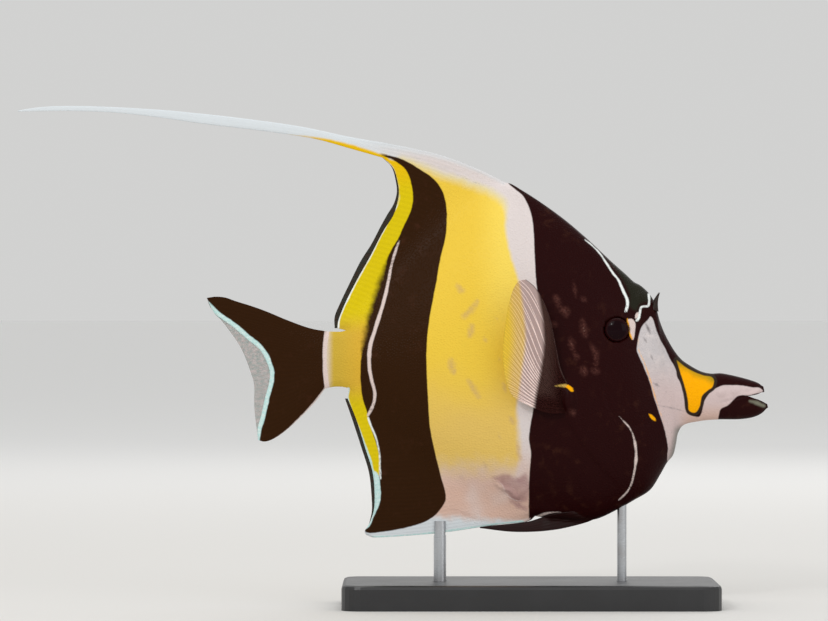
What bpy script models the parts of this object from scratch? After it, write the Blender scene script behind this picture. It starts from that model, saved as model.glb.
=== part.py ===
"""A moorish idol fish at life size, held still on a plain display stand.

The fish looks along +X, its plane of symmetry is Y = 0, and it carries its right flank
at -Y. Lengths in the tables are millimetres from the middle of the base's underside.
"""

import math

import bmesh
import bpy
from mathutils import Vector

MM = 0.001

# Gap left between two sub-parts that meet
GAP = 0.3

# Outline of the flesh and of each fin, seen from the side as (x, z)
BACK = [
    (-64.5, 87.8), (-58.9, 88.2), (-52.8, 93.8), (-43.2, 104.6), (-32.0, 116.8),
    (-20.8, 127.4), (-12.8, 132.8), (-7.7, 135.4), (-2.2, 132.8), (9.6, 124.8),
    (17.3, 118.4), (26.2, 110.1), (30.7, 106.1), (33.3, 103.7), (35.2, 102.7),
    (37.4, 100.8), (38.7, 99.2), (40.0, 96.8), (41.6, 91.5), (44.8, 84.2),
    (48.0, 79.7), (51.5, 77.1), (55.7, 75.0), (59.2, 74.2), (67.5, 73.0),
    (71.7, 71.7), (73.6, 70.6), (74.2, 69.9),
]
BELLY = [
    (-65.6, 69.6), (-62.1, 70.2), (-57.9, 69.6), (-52.8, 65.3), (-44.8, 57.3),
    (-35.2, 48.3), (-25.6, 41.0), (-16.0, 35.2), (-6.4, 31.0), (1.6, 28.8),
    (9.6, 28.0), (16.0, 27.5), (21.1, 27.8), (28.2, 31.0), (33.3, 33.9),
    (38.4, 37.1), (41.6, 41.9), (43.8, 45.8), (45.8, 48.3), (46.7, 51.8),
    (47.4, 55.4), (48.6, 57.8), (54.1, 59.0), (63.0, 60.1), (67.5, 60.0),
    (71.7, 60.8), (74.2, 61.9), (75.8, 63.5),
]
MOUTH_ABOVE = [(59.2, 64.5), (64.0, 65.8), (69.4, 67.5), (73.3, 69.2), (74.2, 69.4)]
MOUTH_BELOW = [(59.2, 64.2), (64.0, 65.4), (69.4, 67.1), (73.3, 65.6), (75.8, 64.0)]

DORSAL_FRONT = [(-7.7, 135.4), (-16.0, 139.5), (-27.8, 144.0), (-35.2, 145.9), (-47.0, 148.3)]
DORSAL_NOTCH = [(-47.0, 148.3), (-47.0, 143.4)]
DORSAL_REAR = [
    (-47.0, 143.4), (-43.9, 140.1), (-42.5, 136.0), (-42.2, 132.2), (-43.1, 128.2),
    (-44.8, 124.2), (-52.3, 111.0), (-60.6, 95.5), (-62.3, 91.5), (-62.1, 88.9),
]
FILAMENT_ABOVE = [
    (-47.0, 148.3), (-57.6, 150.1), (-72.6, 153.3), (-89.9, 155.8), (-107.5, 157.8),
    (-121.3, 159.0), (-144.0, 160.0), (-156.2, 159.7), (-163.5, 158.6),
]
FILAMENT_BELOW = [
    (-47.0, 143.4), (-57.6, 146.4), (-68.5, 149.4), (-83.2, 151.7), (-104.0, 154.2),
    (-117.8, 156.2), (-131.8, 157.8), (-145.6, 158.4), (-163.5, 158.0),
]
ANAL_FRONT = [(1.6, 28.8), (-0.3, 27.2), (-9.6, 26.2), (-28.8, 23.4), (-45.4, 22.1), (-50.0, 21.9)]
ANAL_REAR = [
    (-50.0, 21.9), (-52.4, 22.7), (-53.1, 23.8), (-51.9, 26.2), (-50.5, 30.4),
    (-50.4, 35.2), (-51.1, 42.6), (-53.8, 50.9), (-59.1, 66.2),
]
TAIL_ABOVE = [
    (-64.5, 87.8), (-70.4, 88.9), (-77.7, 91.5), (-83.9, 94.1), (-89.1, 96.0),
    (-94.3, 97.6), (-97.4, 98.7), (-100.5, 99.0), (-103.4, 98.6),
]
TAIL_BELOW = [
    (-65.6, 69.6), (-68.9, 65.1), (-78.4, 55.9), (-82.7, 53.2), (-85.1, 52.6), (-87.0, 53.1),
]
TAIL_REAR = [
    (-103.4, 98.6), (-102.3, 95.6), (-99.9, 92.8), (-96.5, 88.5), (-92.5, 82.6),
    (-89.6, 75.5), (-88.3, 71.0), (-88.2, 63.7), (-87.0, 53.1),
]
PECTORAL_LEAD = [
    (12.1, 70.1), (9.5, 75.2), (7.6, 83.5), (5.7, 92.2), (3.1, 98.6), (-2.3, 104.6),
]
PECTORAL_END = [
    (-2.3, 104.6), (-4.9, 102.7), (-6.8, 97.6), (-8.1, 91.2), (-9.0, 79.0),
    (-7.4, 70.4), (-5.2, 66.9), (-1.7, 65.0),
]
PECTORAL_LAST = [(11.1, 62.1), (4.7, 62.6), (-1.7, 65.0)]
PECTORAL_ROOT = [(12.1, 70.1), (11.1, 62.1)]
PELVIC_ABOVE = [(19.8, 30.6), (12.8, 30.4), (7.0, 29.4), (-0.3, 27.0), (-8.0, 26.1), (-16.0, 25.4)]
PELVIC_BELOW = [(20.5, 27.0), (14.1, 25.6), (7.0, 24.3), (-5.1, 23.8), (-16.0, 25.0)]
PELVIC_ROOT = [(20.5, 27.0), (19.8, 30.6)]
PELVIC_TIP = [(-16.0, 25.0), (-16.0, 25.4)]

# Cross-sections from the tail root to the lips: x on the back, x on the belly, how far the
# section bows forward, half width, and the power that rounds it off above and below
SECTIONS = [
    (-64.5, -65.6, 0.0, 1.7, 0.60, 0.60),
    (-57.6, -57.6, 0.0, 3.0, 0.70, 0.70),
    (-48.0, -48.0, 0.0, 5.0, 0.85, 0.85),
    (-35.2, -35.2, 0.0, 7.8, 0.90, 0.90),
    (-20.8, -19.8, 0.0, 10.4, 0.88, 0.88),
    (-7.7, -4.8, 0.0, 12.0, 0.80, 0.80),
    (1.6, 9.6, -1.3, 12.6, 0.70, 0.60),
    (9.0, 22.4, -3.2, 12.7, 0.62, 0.52),
    (19.2, 30.4, -1.9, 12.2, 0.58, 0.50),
    (27.8, 35.8, 0.0, 11.4, 0.56, 0.50),
    (35.2, 40.0, 0.0, 9.9, 0.55, 0.50),
    (39.0, 43.8, 0.0, 8.2, 0.54, 0.50),
    (41.3, 46.4, 0.0, 6.8, 0.52, 0.50),
    (44.2, 48.6, 0.0, 5.6, 0.50, 0.50),
    (48.6, 51.8, 0.0, 4.8, 0.50, 0.50),
    (54.4, 55.0, 0.0, 4.4, 0.50, 0.50),
    (60.2, 60.2, 0.0, 4.2, 0.50, 0.50),
    (69.4, 69.4, 0.0, 3.9, 0.50, 0.50),
    (72.6, 73.6, 0.0, 3.2, 0.50, 0.50),
    (74.2, 75.8, 0.0, 1.3, 0.50, 0.50),
]
TAIL_ROOT = 0
PEDUNCLE_FRONT = 1
GILL_COVER = 7
JAW_ROOT = 16
LIPS = 19

# Half thickness of the flesh along its edge: where a fin stands on it, and where none does
FIN_ROOT_HALF = 1.1
BARE_EDGE_HALF = 0.4
FIN_MARGIN_HALF = 0.28
FIRST_SPINE_HALF = 0.65
FIN_END_SECTION = 5
BARE_SECTION = 6
TAIL_ROOT_HALF = 1.3
DORSAL_REAR_X = -58.9
ANAL_REAR_X = -57.9

EYE_CENTRE = (27.3, 88.4)
EYE_RADIUS = 3.85
EYE_DEPTH = 3.3
EYE_PROUD = 1.1
EYE_SEGMENTS = 16
EYE_RINGS = 10

HORN_ROOT = (38.2, 96.4)
HORN_TIP = (41.0, 100.2)
HORN_RADIUS = 0.9
HORN_TIP_RADIUS = 0.12
HORN_SPREAD = 3.2
HORN_BEND = 0.5

PECTORAL_FLARE = 0.17
PECTORAL_ROOT_HALF = 0.8
PELVIC_HALF = 0.4
PELVIC_TIP_HALF = 0.26
PELVIC_TUCK = 0.6
PELVIC_SPLAY = 6.0
PELVIC_SPLAY_X = 9.0

BASE_LENGTH = 120.0
BASE_DEPTH = 56.0
BASE_THICKNESS = 8.0
BASE_CORNER = 6.0
BASE_EDGE = 1.2
SOCKET_DEPTH = 4.7
FRONT_ROD_X = 29.4
FRONT_ROD_TOP = 37.0
FRONT_ROD_RADIUS = 1.5
REAR_ROD_X = -28.8
REAR_ROD_TOP = 27.2
REAR_ROD_RADIUS = 2.0
FORK_FLOOR = 23.0
FORK_HALF = 0.85

# Facets: rows round the flesh, columns along its parts, and cells of each fin
ROWS = 14
PEDUNCLE_COLUMNS = 3
TRUNK_COLUMNS = 20
HEAD_COLUMNS = 24
JAW_COLUMNS = 7
JAW_ROWS = 6
DORSAL_CELLS = (26, 8)
NOTCH_CELLS = 3
FILAMENT_CELLS = 24
ANAL_CELLS = (22, 7)
TAIL_CELLS = (20, 7)
PECTORAL_CELLS = (12, 6)
PELVIC_CELLS = (3, 12)
ROD_FACETS = 20
SAMPLES_PER_SPAN = 12
HALVINGS = 30

COLOURS = {
    "head_black": "2A1610",
    "trunk_yellow": "E6C44A",
    "gold": "D9B436",
    "band_brown": "32200F",
    "filament_white": "D5DEE8",
    "tail_brown": "2E1D18",
    "jaw_black": "33242A",
    "pectoral_pink": "CDB9B2",
    "pelvic_black": "241411",
    "eye_black": "120E14",
    "horn_olive": "3A3428",
    "stand_black": "1B1B1D",
    "rod_steel": "B9BCC0",
}


def curve(knots):
    """Fine polyline through the knots, even where they lie unevenly."""
    ends = [_beyond(knots[0], knots[1])] + list(knots) + [_beyond(knots[-1], knots[-2])]
    points = []
    for i in range(1, len(ends) - 2):
        for k in range(SAMPLES_PER_SPAN):
            points.append(_catmull(ends[i - 1:i + 3], k / SAMPLES_PER_SPAN))
    return points + [tuple(knots[-1])]


def _beyond(end, inner):
    """A point past the end of a curve, in line with its last span."""
    return tuple(2 * a - b for a, b in zip(end, inner))


def _catmull(points, t):
    """Point at fraction t of the middle span of a centripetal Catmull-Rom curve."""
    times = [0.0]
    for a, b in zip(points, points[1:]):
        times.append(times[-1] + math.sqrt(max(math.dist(a, b), 1e-9)))
    now = times[1] + t * (times[2] - times[1])
    level = [tuple(p) for p in points]
    for order in (1, 2, 3):
        level = [
            _blend(level[i], level[i + 1], now, *_span(times, i, order))
            for i in range(len(level) - 1)
        ]
    return level[0]


def _span(times, i, order):
    """The two parameters between which step i of the given order blends."""
    if order == 1:
        return times[i], times[i + 1]
    if order == 2:
        return times[i], times[i + 2]
    return times[1], times[2]


def _blend(a, b, now, start, stop):
    share = (now - start) / (stop - start)
    return tuple((1 - share) * p + share * q for p, q in zip(a, b))


def along(points, count):
    """count + 1 points at even distances along a polyline."""
    lengths = [0.0]
    for a, b in zip(points, points[1:]):
        lengths.append(lengths[-1] + math.dist(a, b))
    found = []
    step = 0
    for k in range(count + 1):
        target = lengths[-1] * k / count
        while step < len(points) - 2 and lengths[step + 1] < target:
            step += 1
        span = lengths[step + 1] - lengths[step]
        share = (target - lengths[step]) / span if span else 0.0
        found.append(_mix(points[step], points[step + 1], min(max(share, 0.0), 1.0)))
    return found


def _mix(a, b, share):
    return tuple((1 - share) * p + share * q for p, q in zip(a, b))


def height_at(points, x):
    """Height of a polyline that never turns back in x."""
    for a, b in zip(points, points[1:]):
        if a[0] <= x <= b[0]:
            return a[1] + (b[1] - a[1]) * (x - a[0]) / max(b[0] - a[0], 1e-9)
    return points[0][1] if x < points[0][0] else points[-1][1]


BACK_LINE = curve(BACK)
BELLY_LINE = curve(BELLY)
MOUTH_ABOVE_LINE = curve(MOUTH_ABOVE)
MOUTH_BELOW_LINE = curve(MOUTH_BELOW)


def section(u):
    """The cross-section values at place u, where whole numbers are rows of SECTIONS."""
    low = min(int(u), LIPS - 1)
    t = u - low
    before, start, stop, after = (SECTIONS[min(max(low + k, 0), LIPS)] for k in (-1, 0, 1, 2))
    return [
        b + 0.5 * t * (c - a + t * (2 * a - 5 * b + 4 * c - d + t * (3 * (b - c) + d - a)))
        for a, b, c, d in zip(before, start, stop, after)
    ]


def smoothstep(low, high, value):
    share = min(max((value - low) / (high - low), 0.0), 1.0)
    return share * share * (3 - 2 * share)


def edge_half(u):
    """Half thickness of the flesh along the back and belly at section u."""
    share = smoothstep(FIN_END_SECTION, BARE_SECTION, u)
    return FIN_ROOT_HALF + (BARE_EDGE_HALF - FIN_ROOT_HALF) * share


def flesh_point(u, s):
    """Point of the flesh seen from the side, from belly at s = -1 to back at s = 1."""
    back_x, belly_x, bow = section(u)[:3]
    share = (s + 1) / 2
    low = height_at(BELLY_LINE, belly_x)
    high = height_at(BACK_LINE, back_x)
    x = belly_x + (back_x - belly_x) * share + bow * (1 - s * s)
    return x, low + (high - low) * share


def flesh_half(u, s):
    """Half width of the flesh at section u and height s."""
    width, above, below = section(u)[3:]
    power = below + (above - below) * smoothstep(-0.3, 0.3, s)
    edge = edge_half(u)
    return edge + (width - edge) * max(1 - s * s, 0.0) ** power


def place_on_flesh(x, z):
    """The section and height (u, s) that a point seen from the side belongs to."""
    low, high = 0.0, float(LIPS)
    for _ in range(HALVINGS):
        u = (low + high) / 2
        belly_z = height_at(BELLY_LINE, section(u)[1])
        back_z = height_at(BACK_LINE, section(u)[0])
        s = min(max(2 * (z - belly_z) / (back_z - belly_z) - 1, -1.0), 1.0)
        if flesh_point(u, s)[0] < x:
            low = u
        else:
            high = u
    return u, s


def side_at(x, z):
    """Half width of the flesh at a point seen from the side."""
    return flesh_half(*place_on_flesh(x, z))


def coons(roots, margins, first, last):
    """Grid of a four-sided fin from points on its root and margin, ray by ray."""
    across = len(roots) - 1
    outward = len(first) - 1
    grid = []
    for i in range(across + 1):
        u = i / across
        row = []
        for j in range(outward + 1):
            v = j / outward
            ruled = _mix(roots[i], margins[i], v)
            crossed = _mix(first[j], last[j], u)
            corners = _mix(_mix(roots[0], roots[-1], u), _mix(margins[0], margins[-1], u), v)
            row.append(tuple(a + b - c for a, b, c in zip(ruled, crossed, corners)))
        grid.append(row)
    return grid


def plate(name, grid, half, middle=None):
    """Closed solid with two like sheets, half on each side of its middle, and a rim."""
    rows, columns = len(grid), len(grid[0])
    mesh = bmesh.new()
    sheets = []
    for side in (-1, 1):
        sheet = []
        for i in range(rows):
            for j in range(columns):
                x, z = grid[i][j]
                centre = middle(x, z, i, j) if middle else 0.0
                sheet.append(mesh.verts.new((x * MM, (centre + side * half(i, j)) * MM, z * MM)))
        sheets.append(sheet)
    for sheet in sheets:
        for i in range(rows - 1):
            for j in range(columns - 1):
                k = i * columns + j
                mesh.faces.new((sheet[k], sheet[k + 1], sheet[k + columns + 1], sheet[k + columns]))
    rim = _rim(rows, columns)
    for a, b in zip(rim, rim[1:] + rim[:1]):
        mesh.faces.new((sheets[0][a], sheets[0][b], sheets[1][b], sheets[1][a]))
    return finish(name, mesh)


def _rim(rows, columns):
    """Indices of a grid's outer points, in order round it."""
    first = list(range(columns))
    right = [i * columns + columns - 1 for i in range(1, rows)]
    last = [(rows - 1) * columns + j for j in range(columns - 2, -1, -1)]
    left = [i * columns for i in range(rows - 2, 0, -1)]
    return first + right + last + left


def finish(name, mesh):
    """Turns a bmesh into a named, smooth-shaded object in the scene."""
    mesh.normal_update()
    bmesh.ops.recalc_face_normals(mesh, faces=mesh.faces)
    data = bpy.data.meshes.new(name)
    mesh.to_mesh(data)
    mesh.free()
    data.shade_smooth()
    data.set_sharp_from_angle(angle=math.radians(40))
    solid = bpy.data.objects.new(name, data)
    bpy.context.scene.collection.objects.link(solid)
    return solid


def paint(solid, colour, roughness=0.45, metallic=0.0):
    """Gives an object its own plain material."""
    material = bpy.data.materials.new(solid.name)
    material.use_nodes = True
    shader = material.node_tree.nodes["Principled BSDF"]
    shader.inputs["Base Color"].default_value = (*_linear(COLOURS[colour]), 1.0)
    shader.inputs["Roughness"].default_value = roughness
    shader.inputs["Metallic"].default_value = metallic
    solid.data.materials.append(material)
    return solid


def _linear(code):
    """Linear RGB of a six-digit sRGB colour."""
    values = [int(code[i:i + 2], 16) / 255 for i in (0, 2, 4)]
    return [v / 12.92 if v <= 0.04045 else ((v + 0.055) / 1.055) ** 2.4 for v in values]


def carve(solid, cutter):
    """Cuts a cutter out of a solid for good and removes the cutter."""
    cut = solid.modifiers.new("cut", "BOOLEAN")
    cut.operation = "DIFFERENCE"
    cut.object = cutter
    bpy.context.view_layer.update()
    evaluated = solid.evaluated_get(bpy.context.evaluated_depsgraph_get())
    carved = bpy.data.meshes.new_from_object(evaluated)
    solid.modifiers.remove(cut)
    solid.data = carved
    bpy.data.objects.remove(cutter)
    carved.shade_smooth()
    carved.set_sharp_from_angle(angle=math.radians(40))


def arc_heights(low, high, count):
    """Heights between low and high that step evenly in angle round a section."""
    start, stop = math.asin(low), math.asin(high)
    return [math.sin(start + (stop - start) * k / count) for k in range(count + 1)]


def body_length(name, start, stop, columns):
    """One length of the flesh between two sections, short of each by half the gap."""
    heights = arc_heights(-1.0, 1.0, ROWS)
    places = [start + (stop - start) * k / columns for k in range(columns + 1)]
    grid = [[flesh_point(u, s) for s in heights] for u in places]
    for end, shift in ((0, GAP / 2), (-1, -GAP / 2)):
        grid[end] = [(x + shift, z) for x, z in grid[end]]
    return plate(name, grid, lambda i, j: flesh_half(places[i], heights[j]))


def mouth_height(u, line):
    """Height s of the mouth line at section u of the snout."""
    middle_x = sum(section(u)[:2]) / 2
    low = height_at(BELLY_LINE, section(u)[1])
    high = height_at(BACK_LINE, section(u)[0])
    return min(max(2 * (height_at(line, middle_x) - low) / (high - low) - 1, -0.98), 0.98)


def jaw(name, line, above):
    """One jaw, from the jaw root to its lip, with a flat face towards the mouth line."""
    places = [JAW_ROOT + (LIPS - JAW_ROOT) * k / JAW_COLUMNS for k in range(JAW_COLUMNS + 1)]
    grid, halves = [], []
    for u in places:
        split = mouth_height(u, line)
        low, high = (split, 1.0) if above else (-1.0, split)
        heights = arc_heights(low, high, JAW_ROWS)
        grid.append([flesh_point(u, s) for s in heights])
        halves.append([flesh_half(u, s) for s in heights])
    grid[0] = [(x + GAP / 2, z) for x, z in grid[0]]
    return plate(name, grid, lambda i, j: halves[i][j])


def build_flesh():
    """Tail root, trunk, head and both jaws, parted by thin cuts."""
    peduncle = body_length("tail_peduncle", TAIL_ROOT, PEDUNCLE_FRONT, PEDUNCLE_COLUMNS)
    paint(peduncle, "gold")
    trunk = body_length("trunk", PEDUNCLE_FRONT, GILL_COVER, TRUNK_COLUMNS)
    paint(trunk, "trunk_yellow")
    head = body_length("head", GILL_COVER, JAW_ROOT, HEAD_COLUMNS)
    paint(head, "head_black")
    paint(jaw("upper_jaw", MOUTH_ABOVE_LINE, True), "jaw_black")
    paint(jaw("lower_jaw", MOUTH_BELOW_LINE, False), "jaw_black")
    return head


def lifted(roots, distance):
    """Root points moved off the flesh, square to their line, up if distance is positive."""
    moved = []
    for k, (x, z) in enumerate(roots):
        before, after = roots[max(k - 1, 0)], roots[min(k + 1, len(roots) - 1)]
        length = math.dist(before, after)
        moved.append((
            x + distance * (after[1] - before[1]) / length,
            z - distance * (after[0] - before[0]) / length,
        ))
    return moved


def fin_half(grid, root_half, margin_half, spine=0.0):
    """Half thickness that thins from root to margin, with a stouter first spine."""
    across, outward = len(grid) - 1, len(grid[0]) - 1

    def half(i, j):
        thin = margin_half + (root_half - margin_half) * (1 - j / outward) ** 1.5
        return thin + spine * math.exp(-((i / across) / 0.09) ** 2)

    return half


def part_of_line(points, low, high):
    """The stretch of a polyline between two x values, with its ends added."""
    inside = [p for p in points if low < p[0] < high]
    return [(low, height_at(points, low))] + inside + [(high, height_at(points, high))]


def build_dorsal():
    """Dorsal fin and the long trailing filament that its third spine carries."""
    across, outward = DORSAL_CELLS
    roots = along(part_of_line(BACK_LINE, DORSAL_REAR_X, DORSAL_FRONT[0][0])[::-1], across)
    margins = along(DORSAL_NOTCH, NOTCH_CELLS)[:-1] + along(curve(DORSAL_REAR), across - NOTCH_CELLS)
    roots = lifted(roots, GAP)
    first = along([roots[0]] + curve(DORSAL_FRONT)[1:], outward)
    last = along([roots[-1], margins[-1]], outward)
    grid = coons(roots, margins, first, last)
    half = fin_half(grid, FIN_ROOT_HALF, FIN_MARGIN_HALF, FIRST_SPINE_HALF - FIN_MARGIN_HALF)
    paint(plate("dorsal_fin", grid, half), "trunk_yellow")

    above = along([(x - GAP, z) for x, z in curve(FILAMENT_ABOVE)], FILAMENT_CELLS)
    below = along([(x - GAP, z) for x, z in curve(FILAMENT_BELOW)], FILAMENT_CELLS)
    strands = [[_mix(a, b, j / NOTCH_CELLS) for j in range(NOTCH_CELLS + 1)] for a, b in zip(above, below)]

    def filament_half(i, j):
        stout = FIRST_SPINE_HALF + (FIN_MARGIN_HALF - FIRST_SPINE_HALF) * (i / FILAMENT_CELLS)
        return stout if j < NOTCH_CELLS else FIN_MARGIN_HALF

    paint(plate("dorsal_filament", strands, filament_half), "filament_white")


def build_anal():
    """Anal fin, from the vent to the tail root."""
    across, outward = ANAL_CELLS
    roots = along(part_of_line(BELLY_LINE, ANAL_REAR_X, ANAL_FRONT[0][0])[::-1], across)
    margins = along(curve(ANAL_REAR), across)
    roots = lifted(roots, -GAP)
    first = along([roots[0]] + curve(ANAL_FRONT)[1:], outward)
    last = along([roots[-1], margins[-1]], outward)
    grid = coons(roots, margins, first, last)
    paint(plate("anal_fin", grid, fin_half(grid, FIN_ROOT_HALF, FIN_MARGIN_HALF)), "band_brown")


def build_tail():
    """Tail fin with its two points."""
    across, outward = TAIL_CELLS
    roots = along([(x - GAP / 2, z) for x, z in (BACK[0], BELLY[0])], across)
    first = along([roots[0]] + curve(TAIL_ABOVE)[1:], outward)
    last = along([roots[-1]] + curve(TAIL_BELOW)[1:], outward)
    grid = coons(roots, along(curve(TAIL_REAR), across), first, last)
    paint(plate("caudal_fin", grid, fin_half(grid, TAIL_ROOT_HALF, FIN_MARGIN_HALF)), "tail_brown")


def build_pectorals():
    """Both pectoral fins, fanned up and back and standing off the flanks."""
    across, outward = PECTORAL_CELLS
    roots, margins = along(PECTORAL_ROOT, across), along(curve(PECTORAL_END), across)
    first, last = along(curve(PECTORAL_LEAD), outward), along(curve(PECTORAL_LAST), outward)
    grid = coons(roots, margins, first, last)
    half = fin_half(grid, PECTORAL_ROOT_HALF, FIN_MARGIN_HALF)
    root_x, root_z = _mix(*PECTORAL_ROOT, 0.5)
    root_side = max(side_at(x, z) for x, z in PECTORAL_ROOT) + GAP + PECTORAL_ROOT_HALF
    for side, name in ((-1, "pectoral_fin_right"), (1, "pectoral_fin_left")):

        def middle(x, z, i, j, side=side):
            return side * (root_side + PECTORAL_FLARE * math.hypot(x - root_x, z - root_z))

        paint(plate(name, grid, half, middle), "pectoral_pink", 0.35)


def build_pelvics():
    """Both pelvic fins, folded back along the edge of the belly."""
    across, outward = PELVIC_CELLS
    roots, margins = along(PELVIC_ROOT, across), along(PELVIC_TIP, across)
    first, last = along(curve(PELVIC_BELOW), outward), along(curve(PELVIC_ABOVE), outward)
    grid = coons(roots, margins, first, last)
    half = fin_half(grid, PELVIC_HALF, PELVIC_TIP_HALF)
    for side, name in ((-1, "pelvic_fin_right"), (1, "pelvic_fin_left")):

        def middle(x, z, i, j, side=side):
            clear = half(i, j) + GAP
            beside = side_at(x, z) + clear if z > height_at(BELLY_LINE, x) - PELVIC_TUCK else clear
            splay = smoothstep(0.0, PELVIC_SPLAY, PELVIC_SPLAY_X - x)
            return side * max(beside, (FIN_ROOT_HALF + clear) * splay)

        paint(plate(name, grid, half, middle), "pelvic_black")


def eyeball(name, side, grow):
    """One eye, or with grow the hollow that it sits in."""
    x, z = EYE_CENTRE
    y = side_at(x, z) + EYE_PROUD - EYE_DEPTH
    mesh = bmesh.new()
    bmesh.ops.create_uvsphere(mesh, u_segments=EYE_SEGMENTS, v_segments=EYE_RINGS, radius=1.0)
    for vert in mesh.verts:
        across, up, out = vert.co
        vert.co = Vector((
            (x + across * (EYE_RADIUS + grow)) * MM,
            side * (y + out * (EYE_DEPTH + grow)) * MM,
            (z + up * (EYE_RADIUS + grow)) * MM,
        ))
    return finish(name, mesh)


def horn(name, side, grow):
    """One small curved horn above the eye, or with grow the hollow round its root."""
    rings, spokes = 6, 8
    root = Vector((HORN_ROOT[0], side * HORN_SPREAD, HORN_ROOT[1]))
    tip = Vector((HORN_TIP[0], side * HORN_SPREAD, HORN_TIP[1]))
    axis = (tip - root).normalized()
    across = axis.cross(Vector((0, 1, 0))).normalized()
    mesh = bmesh.new()
    loops = []
    for i in range(rings + 1):
        share = i / rings
        centre = root.lerp(tip, share) - across * HORN_BEND * math.sin(math.pi * share)
        centre += axis * (-grow if i == 0 else grow if i == rings else 0.0)
        radius = HORN_RADIUS + (HORN_TIP_RADIUS - HORN_RADIUS) * share ** 0.8 + grow
        loop = []
        for k in range(spokes):
            angle = 2 * math.pi * k / spokes
            offset = across * math.cos(angle) + Vector((0, 1, 0)) * math.sin(angle)
            loop.append(mesh.verts.new((centre + offset * radius) * MM))
        loops.append(loop)
    for low, high in zip(loops, loops[1:]):
        for k in range(spokes):
            mesh.faces.new((low[k], low[k - 1], high[k - 1], high[k]))
    mesh.faces.new(loops[0])
    mesh.faces.new(loops[-1][::-1])
    return finish(name, mesh)


def build_eyes_and_horns(head):
    """Eyes and horns on both sides, each in a hollow cut into the head."""
    for side, word in ((-1, "right"), (1, "left")):
        carve(head, eyeball("eye_hollow", side, GAP))
        paint(eyeball("eye_" + word, side, 0.0), "eye_black", 0.08)
        carve(head, horn("horn_hollow", side, GAP))
        paint(horn("horn_" + word, side, 0.0), "horn_olive", 0.4)


def rod(name, x, radius, low, high):
    """An upright round rod."""
    mesh = bmesh.new()
    bmesh.ops.create_cone(
        mesh, cap_ends=True, segments=ROD_FACETS, radius1=radius * MM, radius2=radius * MM,
        depth=(high - low) * MM,
    )
    bmesh.ops.translate(mesh, verts=mesh.verts, vec=(x * MM, 0, (low + high) / 2 * MM))
    return finish(name, mesh)


def block(name, low, high):
    """A plain box between two corners."""
    mesh = bmesh.new()
    bmesh.ops.create_cube(mesh, size=1.0)
    for vert in mesh.verts:
        vert.co = Vector((a + (b - a) * (c + 0.5) for a, b, c in zip(low, high, vert.co))) * MM
    return finish(name, mesh)


def build_stand(head):
    """Flat base with a rod up into the chest and a forked rod under the anal fin."""
    base = block(
        "stand_base",
        (-BASE_LENGTH / 2, -BASE_DEPTH / 2, 0.0),
        (BASE_LENGTH / 2, BASE_DEPTH / 2, BASE_THICKNESS),
    )
    mesh = bmesh.new()
    mesh.from_mesh(base.data)
    upright = [e for e in mesh.edges if abs(e.verts[0].co.z - e.verts[1].co.z) > MM]
    bmesh.ops.bevel(mesh, geom=upright, offset=BASE_CORNER * MM, segments=5, profile=0.5, affect="EDGES")
    top = [e for e in mesh.edges if min(v.co.z for v in e.verts) > (BASE_THICKNESS - 0.01) * MM]
    bmesh.ops.bevel(mesh, geom=top, offset=BASE_EDGE * MM, segments=2, profile=0.5, affect="EDGES")
    mesh.to_mesh(base.data)
    mesh.free()

    socket_floor = BASE_THICKNESS - SOCKET_DEPTH
    for x, radius in ((FRONT_ROD_X, FRONT_ROD_RADIUS), (REAR_ROD_X, REAR_ROD_RADIUS)):
        carve(base, rod("socket", x, radius + GAP, socket_floor - GAP, BASE_THICKNESS + 1))
    paint(base, "stand_black", 0.5)

    front = rod("stand_rod_front", FRONT_ROD_X, FRONT_ROD_RADIUS, socket_floor, FRONT_ROD_TOP)
    paint(front, "rod_steel", 0.3, 1.0)
    carve(head, rod("bore", FRONT_ROD_X, FRONT_ROD_RADIUS + GAP, BASE_THICKNESS, FRONT_ROD_TOP + GAP))

    rear = rod("stand_rod_rear", REAR_ROD_X, REAR_ROD_RADIUS, socket_floor, REAR_ROD_TOP)
    reach = REAR_ROD_RADIUS + 1
    slot = block(
        "slot",
        (REAR_ROD_X - reach, -FORK_HALF, FORK_FLOOR - GAP),
        (REAR_ROD_X + reach, FORK_HALF, REAR_ROD_TOP + 1),
    )
    carve(rear, slot)
    paint(rear, "rod_steel", 0.3, 1.0)


def main():
    for old in list(bpy.data.objects):
        bpy.data.objects.remove(old)
    head = build_flesh()
    build_dorsal()
    build_anal()
    build_tail()
    build_pectorals()
    build_pelvics()
    build_eyes_and_horns(head)
    build_stand(head)


main()
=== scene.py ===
"""A moorish idol fish at life size on a plain display stand: its skin, fins, eyes and finish.

The fish looks along +X with its plane of symmetry at Y = 0. Tables and sizes are in
millimetres from the middle of the stand's underside, and meshes are made in metres.
"""

import logging
import math
from collections.abc import Iterable, Sequence
from dataclasses import dataclass, field, fields
from enum import Enum
from typing import Any

import bpy
import numpy as np
from bpy.types import Material, Mesh, Node, NodeSocket, Object
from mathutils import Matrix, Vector
from mathutils.kdtree import KDTree


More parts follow.
